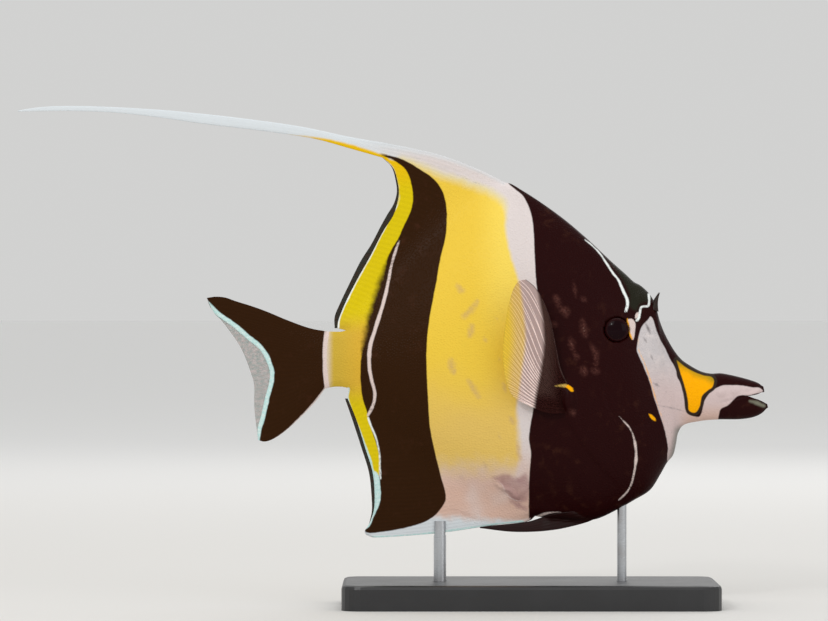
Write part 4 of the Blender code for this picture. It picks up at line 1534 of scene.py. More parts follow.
@dataclass
class Skin:
    """One closed skin over body, jaws, dorsal, anal and tail fins."""

    flesh: Flesh = field(default_factory=Flesh)
    eye: Eye = field(default_factory=Eye)
    markings: Markings = field(default_factory=Markings)
    rows: int = 140
    mouth_row: int = 53
    margin_half: float = 0.15
    dorsal_steps: int = 34
    anal_steps: int = 30
    tail_steps: int = 34
    filament_steps: int = 150
    dorsal_rays: int = 41
    anal_rays: int = 34
    tail_rays: int = 30
    dorsal_rear_x: float = -58.9
    anal_rear_x: float = -57.9
    dorsal_front: Knots = (
        (-7.7, 135.4), (-16.0, 139.5), (-27.8, 144.0), (-35.2, 145.9), (-47.0, 148.3),
    )
    notch: Knots = ((-47.0, 148.3), (-47.0, 143.4))
    dorsal_edge: Knots = (
        (-47.0, 143.4), (-43.8, 140.2), (-42.4, 136.0), (-41.9, 132.2), (-42.6, 128.3), (-43.8, 124.8),
        (-46.7, 120.3), (-51.2, 111.7), (-55.7, 103.7), (-59.5, 96.0), (-61.4, 90.9), (-61.6, 88.9),
    )
    filament_above: Knots = (
        (-47.0, 148.3), (-57.6, 150.1), (-72.6, 153.3), (-89.9, 155.8), (-107.5, 157.8), (-121.3, 159.0),
        (-144.0, 160.0), (-156.2, 159.7), (-163.8, 158.6),
    )
    filament_below: Knots = (
        (-47.0, 143.4), (-57.6, 146.4), (-68.5, 149.4), (-83.2, 151.7), (-104.0, 154.2), (-117.8, 156.2),
        (-131.8, 157.8), (-145.6, 158.4), (-163.8, 158.2),
    )
    anal_front: Knots = (
        (1.6, 28.8), (-0.3, 27.2), (-9.6, 26.2), (-28.8, 23.4), (-45.4, 22.1), (-50.0, 21.9),
    )
    anal_edge: Knots = (
        (-50.0, 21.9), (-52.3, 22.8), (-52.9, 23.8), (-51.5, 26.2), (-50.0, 30.4), (-49.7, 35.2),
        (-50.3, 42.6), (-52.8, 50.9), (-55.6, 59.8), (-58.3, 66.4),
    )
    tail_above: Knots = (
        (-64.5, 87.8), (-70.4, 88.9), (-77.7, 91.5), (-83.9, 94.1), (-89.1, 96.0), (-94.3, 97.6),
        (-97.4, 98.7), (-100.5, 99.0), (-103.4, 98.6),
    )
    tail_below: Knots = (
        (-65.6, 69.6), (-68.9, 65.1), (-78.4, 55.9), (-82.7, 53.2), (-85.1, 52.6), (-87.0, 53.1),
    )
    tail_edge: Knots = (
        (-103.4, 98.6), (-100.7, 93.4), (-95.2, 89.4), (-90.3, 85.2), (-86.6, 82.2), (-84.4, 78.5),
        (-83.2, 74.6), (-83.5, 71.3), (-84.8, 66.5), (-86.0, 61.0), (-87.2, 56.5), (-87.0, 53.1),
    )
    mouth_above: Knots = (
        (59.2, 64.6), (64.0, 65.9), (69.4, 67.3), (71.4, 67.7), (73.0, 68.1), (74.2, 68.6),
    )
    mouth_below: Knots = (
        (59.2, 64.6), (64.0, 65.9), (69.4, 67.3), (71.4, 66.6), (73.0, 66.0), (74.7, 64.9), (75.8, 63.8),
    )
    mouth_corner: float = 17.0
    gill_cover: Knots = (
        (6.0, 88.0), (4.6, 80.0), (6.5, 72.0), (10.5, 62.0), (16.5, 52.0), (25.0, 42.0), (31.0, 36.5),
    )
    cheek: Knots = ((27.0, 82.0), (24.0, 72.0), (26.0, 62.0), (33.0, 58.0), (41.0, 60.0))
    # x, z, radius along X and Z, rise, and share of the radius that is full height
    knobs: tuple[tuple[float, ...], ...] = (
        (61.0, 68.3, 1.9, 1.9, 0.45, 0.2), (65.6, 68.9, 2.1, 2.1, 0.4, 0.2),
        (69.2, 69.4, 1.2, 1.2, 0.2, 0.2), (72.6, 69.2, 1.0, 1.0, 0.25, 0.2),
        (12.2, 66.1, 2.4, 5.2, 1.15, 0.35), (35.0, 98.0, 2.6, 3.4, 0.5, 0.2),
    )
    vent: Knots = ((-11.8, 41.0), (-9.0, 38.0), (-6.4, 37.0), (-4.2, 35.0), (-2.4, 37.6), (-1.8, 40.0))
    gill_rise: float = 0.35
    cheek_groove: float = 0.2
    vent_rise: float = 0.55
    crease_half: float = 0.7
    lip_bulge: float = 0.3
    mouth_crease: float = 0.22
    socket: float = 2.6
    socket_rim: float = 0.22
    root_x: float = -65.1
    length: float = 142.0
    bare_rim: Fade = (0.7, 1.8)
    bare_eye: Fade = (0.5, 1.3)
    bare_snout: Fade = (16.2, 18.0)
    # Where the fins' roots run softly into the body, and how far they are averaged
    dorsal_from_x: float = -8.5
    anal_from_x: float = 0.5
    root_near: Fade = (5.0, 12.0)
    rim_kept: Fade = (0.2, 3.0)
    blur: float = 3.2
    # The mouth's crease and lips along X
    crease_from: Fade = (59.5, 62.0)
    mouth_opens: Fade = (68.4, 69.8)
    lips_from: Fade = (64.0, 70.0)
    lips_to: Fade = (73.5, 75.5)
    # Share of the dorsal fin's root that carries the streamer, and stoutness of the first spines
    streamer_share: float = 3 / 26
    dorsal_spine: float = 0.42
    fin_spine: float = 0.1
    # Corner and size of each part of a flank's map
    body_box: Box = (0.22, 0.28, 0.77, 0.44)
    dorsal_box: Box = (0.22, 0.74, 0.77, 0.24)
    anal_box: Box = (0.22, 0.26, 0.77, -0.24)
    tail_box: Box = (0.2, 0.72, -0.19, -0.44)
    streamer_box: Box = (0.79, 0.8, 0.2, 0.15)
    # Heights of each flank's part of the map, and of the strip between the flanks
    side_height: float = 0.46
    left_from: float = 0.47
    strip_from: float = 0.934
    strip_height: float = 0.065
    flank: Flank | None = None

    def build(self) -> Object:
        """Makes the skin with its markings.

        Returns:
            The skin as one mesh.
        """
        sheets = self._body_sheets()
        sheets += self._fin_sheets(sheets[0])
        points, half, extras, faces, chart = self._weld(sheets)
        off_rim = self._off_rim(points, faces)
        half = self._blended(points, half, faces, off_rim) + self._relief(points)
        coords = np.column_stack([points[:, 0], -half, points[:, 1]]) * MM
        extras["coat"] = extras["coat"] * self._covered(points, off_rim)
        self.flank = Flank(coords, faces, extras)
        everything = np.vstack([coords, coords * (1, -1, 1)])
        closed = close_sheets(faces, len(points))
        fields = {key: np.tile(values, 2) for key, values in extras.items()}
        skin = new_object("fish_skin", everything, closed, fields)
        mark_piece(skin, self.markings)
        self._unwrap(skin, chart, len(closed) - 2 * len(faces))
        return skin

    def _unwrap(self, skin: Object, chart: Array, strips: int) -> None:
        """Lays both flanks and the strip between them out on the skin's own map.

        Args:
            skin: The skin.
            chart: Place of each corner of the right flank's faces on its own map.
            strips: Number of faces that join the flanks.
        """
        right = chart * (1.0, self.side_height)
        left = right[:, ::-1] + (0.0, self.left_from)
        cell = np.array([(0.1, 0.1), (0.9, 0.1), (0.9, 0.9), (0.1, 0.9)])
        across = math.ceil(math.sqrt(strips * 16))
        number = np.arange(strips)
        corner = np.stack([number % across, number // across], 1)[:, None] + cell[None]
        size = (1 / across, self.strip_height / (strips / across + 1))
        strip = corner * size + (0.0, self.strip_from)
        layer = skin.data.uv_layers.new(name="OFBake")
        flat = np.concatenate([right.ravel(), left.ravel(), strip.ravel()])
        layer.data.foreach_set("uv", flat.astype(np.float32))

    def _blended(self, points: Array, half: Array, faces: Array, off_rim: Array) -> Array:
        """Half widths with the fins' roots run softly into the body.

        Args:
            points: Side view points of the skin.
            half: Half width at each point.
            faces: Quads of the flank.
            off_rim: Distance of each point from the flank's rim.

        Returns:
            The softened half widths.
        """
        back, belly = smooth_line(self.flesh.back), smooth_line(self.flesh.belly)
        back = back[(back[:, 0] > self.dorsal_rear_x) & (back[:, 0] < self.dorsal_from_x)]
        belly = belly[(belly[:, 0] > self.anal_rear_x) & (belly[:, 0] < self.anal_from_x)]
        reach = self.root_near[1] + 1.0
        distance = np.minimum(*(near_line(points, line, reach)[0] for line in (back, belly)))
        share = (1 - ease(*self.root_near, distance)) * ease(*self.rim_kept, off_rim)
        return half + share * (self._blurred(points, half, faces) - half)

    def _blurred(self, points: Array, half: Array, faces: Array) -> Array:
        """Half widths averaged over the skin round each point.

        Args:
            points: Side view points of the skin.
            half: Half width at each point.
            faces: Quads of the flank.

        Returns:
            The averages.
        """
        a, b, c, d = (points[faces[:, k]] for k in range(4))
        (px, pz), (qx, qz) = (c - a).T, (d - b).T
        mass = np.bincount(faces.ravel(), np.repeat(np.abs(px * qz - pz * qx), 4), len(points))
        cell, margin = self.blur / 6, 30
        spot = (points - points.min(0)) / cell + margin
        shape = tuple((spot.max(0) + margin).astype(int))
        number = np.ravel_multi_index(tuple(spot.round().astype(int).T), shape)
        waves = [np.fft.fftfreq(shape[0])[:, None], np.fft.rfftfreq(shape[1])[None]]
        soft = np.exp(-2 * (math.pi * 6) ** 2 * (waves[0] ** 2 + waves[1] ** 2))
        heavy, plain = (
            np.fft.irfft2(np.fft.rfft2(np.bincount(number, load, shape[0] * shape[1]).reshape(shape))
                          * soft, shape)
            for load in (mass * half, mass)
        )
        mean = heavy / np.maximum(plain, 1e-9)
        low = spot.astype(int)
        (i, j), (x, z) = low.T, (spot - low).T
        return ((1 - x) * (1 - z) * mean[i, j] + x * (1 - z) * mean[i + 1, j]
                + (1 - x) * z * mean[i, j + 1] + x * z * mean[i + 1, j + 1])

    def _off_rim(self, points: Array, faces: Array) -> Array:
        """Distance of each point from the flank's rim.

        Args:
            points: Side view points of the skin.
            faces: Quads of the flank.

        Returns:
            The distances.
        """
        rim = np.unique(rim_of(faces))
        tree = KDTree(len(rim))
        for number, (x, z) in enumerate(points[rim]):
            tree.insert((x, z, 0.0), number)
        tree.balance()
        return np.array([tree.find((x, z, 0.0))[2] for x, z in points])

    def _covered(self, points: Array, off_rim: Array) -> Array:
        """Share of scales at each point, fading out at thin rims and round the eye."""
        eye = np.hypot(*(points - np.array(self.eye.centre)).T)
        return ease(*self.bare_rim, off_rim) * ease(*self.bare_eye, eye - self.eye.rim)

    def columns(self) -> Array:
        """Places along the body where the skin has a column of points.

        Returns:
            The places, from the tail root to the lips.
        """
        # Each place with the number of columns between it and the one before
        stops = (
            (0.0, 0), (self.flesh.along(Edge.BACK, self.dorsal_rear_x), 8),
            (self.flesh.along(Edge.BELLY, self.anal_rear_x), 2), (5.0, 64),
            (self.flesh.along(Edge.BELLY, self.anal_front[0][0]), 8), (7.0, 22), (16.0, 108),
            (self.mouth_corner, 18), (float(self.flesh.lips), 16),
        )
        parts = [np.linspace(a, b, n, endpoint=False) for (a, _), (b, n) in zip(stops, stops[1:])]
        return np.concatenate([*parts, [float(self.flesh.lips)]])

    def _heights(self, u: Array, line: Knots) -> Array:
        """Heights of the rows of each column, led along the mouth in the snout.

        Args:
            u: Places of the columns along the body.
            line: The mouth's line.

        Returns:
            Heights from -1 to 1, as column, row.
        """
        count, turn = self.rows, np.pi / 2
        even = np.linspace(-turn, turn, count + 1)
        low, high = self.flesh.ends(u)
        x = (low[:, 0] + high[:, 0]) / 2
        mouth_z = np.interp(x, *smooth_line(line).T)
        split = 2 * (mouth_z - low[:, 1]) / (high[:, 1] - low[:, 1]) - 1
        split = np.arcsin(np.clip(split, -0.97, 0.97))[:, None]
        below = np.linspace(0, 1, self.mouth_row + 1)[None]
        above = np.linspace(0, 1, count - self.mouth_row + 1)[None]
        led = np.hstack([-turn + (split + turn) * below, (split + (turn - split) * above)[:, 1:]])
        share = ease(11.0, 16.0, u)[:, None]
        angle = (1 - share) * even[None] + share * led
        # The rows crowd a little towards the back and the belly
        return 0.7 * np.sin(angle) + 0.3 * angle / turn

    def _reach(self, u: Array) -> Array:
        """Share of the body's length in front of the tail root."""
        values = self.flesh.section(u)
        return np.clip(((values[:, 0] + values[:, 1]) / 2 - self.root_x) / self.length, 0.0, 1.0)

    def _grid(self, u: Array, heights: Array, first_row: int = 0) -> dict[str, Array]:
        """Points, half widths and map places of one stretch of the body.

        Args:
            u: Places of the columns along the body.
            heights: Heights of their rows.
            first_row: Number of the lowest row.

        Returns:
            The sheet's values by name.
        """
        shape = heights.shape
        along = np.repeat(u, shape[1])
        s = heights.ravel()
        row = (first_row + np.arange(shape[1])) / self.rows
        sheet = spread(
            shape, half=self.flesh.half(along, s).reshape(shape), ray=0.0, ray_gain=0.0,
            coat=1 - ease(*self.bare_snout, u)[:, None], root_u=self._reach(u)[:, None],
            root_v=0.2 + 0.6 * row,
        )
        sheet["at"] = self.flesh.point(along, s).reshape(*shape, 2)
        sheet["chart"] = boxed(self.body_box, sheet["root_u"], row)
        return sheet

    def _body_sheets(self) -> list[dict[str, Array]]:
        """The body up to the mouth's corner, and the two jaws beyond it.

        Returns:
            The sheets' values by name.
        """
        u = self.columns()
        closed = u[u <= self.mouth_corner + 1e-6]
        open_ = u[u >= self.mouth_corner - 1e-6]
        body = self._grid(closed, self._heights(closed, self.mouth_above))
        body["u"] = closed
        upper_rows = self._heights(open_, self.mouth_above)[:, self.mouth_row:]
        lower_rows = self._heights(open_, self.mouth_below)[:, :self.mouth_row + 1]
        jaws = [
            self._lip(self._grid(open_, upper_rows, self.mouth_row)),
            self._lip(self._grid(open_, lower_rows)),
        ]
        sheets = [body, *jaws]
        for sheet in sheets[1:]:
            sheet["coat"] = np.zeros_like(sheet["coat"])
        return sheets

    def _lip(self, jaw: dict[str, Array]) -> dict[str, Array]:
        """A jaw with a rounded front added to its last column.

        Args:
            jaw: The jaw's sheet.

        Returns:
            The longer sheet.
        """
        steps = np.linspace(0, np.pi / 2, 6)[1:]
        rounded = {key: [values] for key, values in jaw.items()}
        end, half = jaw["at"][-1], jaw["half"][-1]
        middle = end.mean(0)
        for number, angle in enumerate(steps, 1):
            reach, shrink = math.sin(angle), math.cos(angle)
            grown = middle + (end - middle) * (0.35 + 0.65 * shrink)
            grown[:, 0] += 0.45 * reach
            rounded["at"].append(grown[None])
            rounded["half"].append(np.maximum(half * shrink, 0.02)[None])
            for key in ("ray", "ray_gain", "coat", "root_u", "root_v"):
                rounded[key].append(jaw[key][-1:])
            rounded["chart"].append(jaw["chart"][-1:] + (0.0012 * number, 0.0))
        return {key: np.concatenate(values) for key, values in rounded.items()}

    def _fin_sheets(self, body: dict[str, Array]) -> list[dict[str, Array]]:
        """Dorsal fin with its filament, anal fin and tail fin, on the body's own edge.

        Args:
            body: The body's sheet.

        Returns:
            The fins' sheets.
        """
        u = body["u"]
        back = (u >= self.flesh.along(Edge.BACK, self.dorsal_rear_x) - 1e-6) & (u <= 5 + 1e-6)
        belly = ((u >= self.flesh.along(Edge.BELLY, self.anal_rear_x) - 1e-6)
                 & (u <= self.flesh.along(Edge.BELLY, self.anal_front[0][0]) + 1e-6))
        roots = body["at"][back, -1][::-1]
        shares = run_of(roots)
        split = round(len(roots) * self.streamer_share)
        notch = spaced(np.asarray(self.notch, float), shares[:split + 1] / shares[split])
        rest = (shares[split:] - shares[split]) / (1 - shares[split])
        margins = np.vstack([notch[:-1], spaced(smooth_line(self.dorsal_edge), rest)])
        reach = self._reach(u)
        dorsal = self._fin(roots, body["half"][back, -1][::-1], margins,
                           self.dorsal_front, None, self.dorsal_steps, self.dorsal_rays,
                           self.dorsal_spine)
        self._lay_out(dorsal, reach[back][::-1], (0.8, 0.4), self.dorsal_box)
        filament = self._filament(dorsal, shares[:split + 1] / shares[split])
        roots = body["at"][belly, 0][::-1]
        margins = spaced(smooth_line(self.anal_edge), run_of(roots))
        anal = self._fin(roots, body["half"][belly, 0][::-1], margins,
                         self.anal_front, None, self.anal_steps, self.anal_rays, self.fin_spine)
        self._lay_out(anal, reach[belly][::-1], (0.2, -0.4), self.anal_box)
        roots = body["at"][0, ::-1]
        margins = spaced(smooth_line(self.tail_edge), run_of(roots))
        tail = self._fin(roots, body["half"][0, ::-1], margins,
                         self.tail_above, self.tail_below, self.tail_steps, self.tail_rays,
                         self.fin_spine)
        down = np.linspace(0, 1, len(roots))
        self._lay_out(tail, down, (0.0, 0.0), self.tail_box)
        tail["chart"] = boxed(self.tail_box, np.linspace(0, 1, self.tail_steps + 1), down[:, None])
        return [dorsal, filament, anal, tail]

    def _fin(self, roots: Array, root_half: Array, margins: Array, leading: Knots,
             trailing: Knots | None, steps: int, rays: int, spine: float) -> dict[str, Array]:
        """One fin as a sheet.

        Args:
            roots: Points of the body's edge that the fin stands on.
            root_half: Half width of the body at those points.
            margins: Points of the fin's outer edge.
            leading: Knots of the edge from the first root point outward.
            trailing: Knots of the edge from the last root point, or None for a straight one.
            steps: Cells from root to margin.
            rays: Number of rays.
            spine: Extra half thickness of the first spine.

        Returns:
            The sheet's values by name.
        """
        v = np.linspace(0, 1, steps + 1)
        shares = run_of(roots)
        lead = np.vstack([roots[:1], smooth_line(leading)[1:]])
        trail = smooth_line(trailing) if trailing else np.vstack([roots[-1], margins[-1]])
        trail[0] = roots[-1]
        at = fan(roots, margins, spaced(lead, v), spaced(trail, v), shares)
        thin = self.margin_half + (root_half[:, None] - self.margin_half) * (1 - v[None]) ** 1.4
        stout = spine * bell(shares, 0.07)[:, None] * ease(0.0, 0.12, v)[None]
        return {"at": at, **spread(
            at.shape[:2], half=thin + stout, ray=shares[:, None] * rays,
            ray_gain=ease(0.08, 0.45, v), coat=1 - ease(0.15, 0.5, v),
        )}

    def _lay_out(self, fin: dict[str, Array], reach: Array, root_v: tuple[float, float],
                 box: Box) -> None:
        """Places of a fin's points on the coat's map and on the skin's.

        Args:
            fin: The fin's sheet, which gains them.
            reach: Share of the body's length at each root point.
            root_v: Height on the coat's map at the root, and its growth to the margin.
            box: Corner and size of the fin's part of the skin's map.
        """
        shape = fin["half"].shape
        v = np.linspace(0, 1, shape[1])
        fin.update(spread(shape, root_u=reach[:, None], root_v=root_v[0] + root_v[1] * v))
        fin["chart"] = boxed(box, fin["root_u"], v)

    def _filament(self, dorsal: dict[str, Array], shares: Array) -> dict[str, Array]:
        """The long streamer behind the dorsal fin's third spine.

        Args:
            dorsal: The dorsal fin's sheet.
            shares: Share of the streamer's width at each row.

        Returns:
            The streamer's sheet.
        """
        run = np.linspace(0, 1, self.filament_steps + 1)
        above = spaced(smooth_line(self.filament_above), run)[:, None]
        below = spaced(smooth_line(self.filament_below), run)[:, None]
        across = shares[None, :, None]
        at = (1 - across) * above + across * below
        start = dorsal["half"][:len(shares), -1][None]
        mound = np.sqrt(np.clip(1 - (2 * shares - 1) ** 2, 0, 1))[None]
        thick = (0.5 - 0.3 * run[:, None]) * (0.35 + 0.65 * mound)
        joined = ease(0.0, 0.12, run)[:, None]
        chart = boxed(self.streamer_box, run[:, None], shares)
        return {"at": at, "chart": chart, **spread(
            at.shape[:2], half=(1 - joined) * start + joined * thick, ray=shares * 3, ray_gain=0.35,
            coat=0.0, root_u=0.0, root_v=0.0,
        )}

    def _weld(self, sheets: list[dict[str, Array]]) -> tuple[Array, ...]:
        """Joins sheets that share edge points into one.

        Args:
            sheets: The sheets' values by name.

        Returns:
            Points, half widths, other values by name, quads, and the map place of each corner.
        """
        first = 0
        faces, chart = [], []
        for sheet in sheets:
            rows, columns = sheet["half"].shape
            flat = sheet["at"].reshape(-1, 2)
            quads = face_right(grid_faces(rows, columns), flat)
            chart.append(sheet["chart"].reshape(-1, 2)[quads])
            faces.append(quads + first)
            first += rows * columns
        points = np.vstack([sheet["at"].reshape(-1, 2) for sheet in sheets])
        _, index, inverse = np.unique(np.round(points, 3), axis=0, return_index=True,
                                      return_inverse=True)
        quads = inverse.ravel()[np.vstack(faces)]
        ordered = np.sort(quads, 1)
        whole = (np.diff(ordered, axis=1) > 0).all(1)
        stored = {
            key: np.concatenate([sheet[key].ravel() for sheet in sheets])[index]
            for key in ("half", "ray", "ray_gain", "coat", "root_u", "root_v")
        }
        half = stored.pop("half")
        return points[index], half, stored, quads[whole], np.concatenate(chart)[whole]

    def _relief(self, at: Array) -> Array:
        """Height of folds and rims that stand off the flesh, at points of the side view.

        Args:
            at: Side view places, one a row.

        Returns:
            The heights in millimetres.
        """
        distance, share = near_line(at, smooth_line(self.gill_cover))
        ahead = Patch(self.gill_cover, ((60.0, 36.5), (60.0, 88.0))).depth(at) > 0
        step = np.where(ahead, 1.0, -1.0) * distance
        ends = ease(0.0, 0.15, share) * (1 - ease(0.8, 1.0, share))
        height = self.gill_rise * ends * (ease(-0.5, 0.5, step) * bell(np.maximum(step, 0), 5.0))
        for line, rise, taper in (
            (self.cheek, -self.cheek_groove, 0.2), (self.vent, self.vent_rise, 0.25),
        ):
            distance, share = near_line(at, smooth_line(line))
            ends = ease(0, taper, share) * (1 - ease(1 - taper, 1, share))
            height += rise * bell(distance, self.crease_half) * ends
        for x, z, along, up, rise, full in self.knobs:
            off = np.hypot((at[:, 0] - x) / along, (at[:, 1] - z) / up)
            height += rise * (1 - ease(full, 1.0, off))
        return height + self._mouth_relief(at) + self._eye_relief(at)

    def _mouth_relief(self, at: Array) -> Array:
        """Crease behind the mouth's corner and lips along its open part.

        Args:
            at: Side view places, one a row.

        Returns:
            The heights in millimetres.
        """
        x = at[:, 0]
        above = near_line(at, smooth_line(self.mouth_above))[0]
        below = near_line(at, smooth_line(self.mouth_below))[0]
        distance = np.minimum(above, below)
        closed = 1 - ease(*self.mouth_opens, x)
        crease = -self.mouth_crease * bell(distance, 0.4) * closed * ease(*self.crease_from, x)
        lips = self.lip_bulge * bell(distance - 0.55, 0.6) * ease(*self.lips_from, x)
        return crease + lips * (1 - ease(*self.lips_to, x))

    def _eye_relief(self, at: Array) -> Array:
        """Socket and the low rim of skin round it.

        Args:
            at: Side view places, one a row.

        Returns:
            The heights in millimetres.
        """
        eye = self.eye
        radius = np.hypot(at[:, 0] - eye.centre[0], at[:, 1] - eye.centre[1])
        socket = -self.socket * (1 - ease(eye.rim - 0.06, eye.rim + 0.02, radius))
        rim = self.socket_rim * bell(radius - eye.rim - 0.7, 0.8)
        return socket + rim * (radius > eye.rim - 0.03)


# The coat of scales


@dataclass(frozen=True)
class ScaleCoat:
    """Small overlapping scales on one flank."""

    markings: Markings
    spacing_mm: float = 0.66
    length_mm: float = 0.95
    width_mm: float = 0.80
    height_mm: float = 0.07
    lift: float = 0.05
    patch: float = 0.003

    def build(self, side: Side, flank: Flank, finish: Material,
              tree: Grower) -> Object:
        """Makes one flank's scales.

        Args:
            side: Which flank.
            flank: The skin's right side.
            finish: The scales' material.
            tree: Tree that lays scales.

        Returns:
            The scales as one mesh.
        """
        mirror = side is Side.LEFT
        points = flank.points * ((1, -1, 1) if mirror else (1, 1, 1))
        faces = flank.faces[:, ::-1] if mirror else flank.faces
        keep = {key: flank.fields[key] for key in ("coat", "root_u", "root_v")}
        coated = (flank.fields["coat"][faces] > 0.02).all(1)
        piece = new_object(f"scales_{side.word}", points, faces[coated], keep)
        tree.grow(piece, {
            "Spacing": self.spacing_mm * MM, "Length": self.length_mm * MM,
            "Width": self.width_mm * MM, "Height": self.height_mm * MM, "Lift": self.lift,
            "Lie": (-1.0, 0.0, 0.0), "Seed": 7, "Material": finish,
        })
        mark_piece(piece, self.markings)
        self._unwrap(piece.data)
        return piece

    def _unwrap(self, mesh: Mesh) -> None:
        """Gives each scale a small patch at its root's place on the skin's map.

        Args:
            mesh: The scales.
        """
        count = len(mesh.vertices)
        root = np.column_stack([read_field(mesh, key, count) for key in ("root_u", "root_v")])
        flat = np.empty(count * 3, np.float32)
        mesh.attributes["patch"].data.foreach_get("vector", flat)
        place = 0.01 + 0.98 * root + flat.reshape(-1, 3)[:, :2] * self.patch
        corner = np.empty(len(mesh.loops), np.int32)
        mesh.loops.foreach_get("vertex_index", corner)
        for layer in list(mesh.uv_layers):
            mesh.uv_layers.remove(layer)
        layer = mesh.uv_layers.new(name="OFBake")
        layer.data.foreach_set("uv", place[corner].ravel().astype(np.float32))


def read_field(mesh: Mesh, key: str, count: int) -> Array:
    """The stored number of that name at each vertex.

    Args:
        mesh: The mesh.
        key: The name.
        count: Vertices of the mesh.

    Returns:
        The numbers.
    """
    values = np.empty(count, np.float32)
    mesh.attributes[key].data.foreach_get("value", values)
    return values


# Fins


@dataclass(frozen=True)
class RayShape:
    """Radii and joints of a fin's rays in millimetres, and how far a joint swells."""

    root_radius: float
    tip_radius: float
    joint: float = 1.0
    swell: float = 0.06

    def sweep(self, name: str, paths: Sequence[Array], finish: Material, tree: Grower) -> Object:
        """Makes a round, jointed ray along each path.

        Args:
            name: Name of the piece.
            paths: Points of each path in metres.
            finish: The rays' material.
            tree: Tree that sweeps rays.

        Returns:
            The rays as one mesh.
        """
        edges, first = [], 0
        for path in paths:
            edges += [(first + k, first + k + 1) for k in range(len(path) - 1)]
            first += len(path)
        mesh = bpy.data.meshes.new(name)
        mesh.from_pydata(np.vstack(paths).tolist(), edges, [])
        return tree.grow(in_scene(name, mesh), {
            "Root Radius": self.root_radius * MM, "Tip Radius": self.tip_radius * MM,
            "Joint Length": self.joint * MM, "Joint Swell": self.swell, "Material": finish,
        })


@dataclass(frozen=True)
class Border:
    """A thin see-through border that carries a fin on past its last line."""

    name: str
    inner: Knots
    outer: Knots
    rays: int
    half: float = 0.09
    tuck: float = 0.25
    shortest: float = 0.55
    cells: tuple[int, int] = (120, 6)
    stem: RayShape = RayShape(0.09, 0.045, 0.9, 0.1)

    def build(self, finish: Material, ray_finish: Material,
              tree: Grower) -> list[Object]:
        """Makes the border and the fine rays in it.

        Args:
            finish: The border's material.
            ray_finish: Its rays' material.
            tree: Tree that sweeps rays.

        Returns:
            The border and its rays.
        """
        across, outward = self.cells
        shares = np.linspace(0, 1, across + 1)
        inner = spaced(smooth_line(self.inner), shares)
        outer = spaced(smooth_line(self.outer), shares)
        reach = np.linalg.norm(outer - inner, axis=1)[:, None]
        inner = inner - (outer - inner) / np.maximum(reach, 0.2) * self.tuck
        v = np.linspace(0, 1, outward + 1)[None, :, None]
        grid = (1 - v) * inner[:, None] + v * outer[:, None]
        half = np.broadcast_to(self.half * (1 - 0.6 * v[..., 0]), grid.shape[:2])
        sheet = plate(self.name, grid, half)
        sheet.data.materials.append(finish)
        paths = []
        for share in np.linspace(0.02, 0.98, self.rays):
            k = share * across
            row = grid[int(k)] + (grid[min(int(k) + 1, len(grid) - 1)] - grid[int(k)]) * (k % 1)
            if np.linalg.norm(row[-1] - row[0]) > self.shortest:
                paths.append(np.column_stack([row[:, 0], 0 * row[:, 0], row[:, 1]]) * MM)
        return [sheet, self.stem.sweep(self.name + "_rays", paths, ray_finish, tree)]


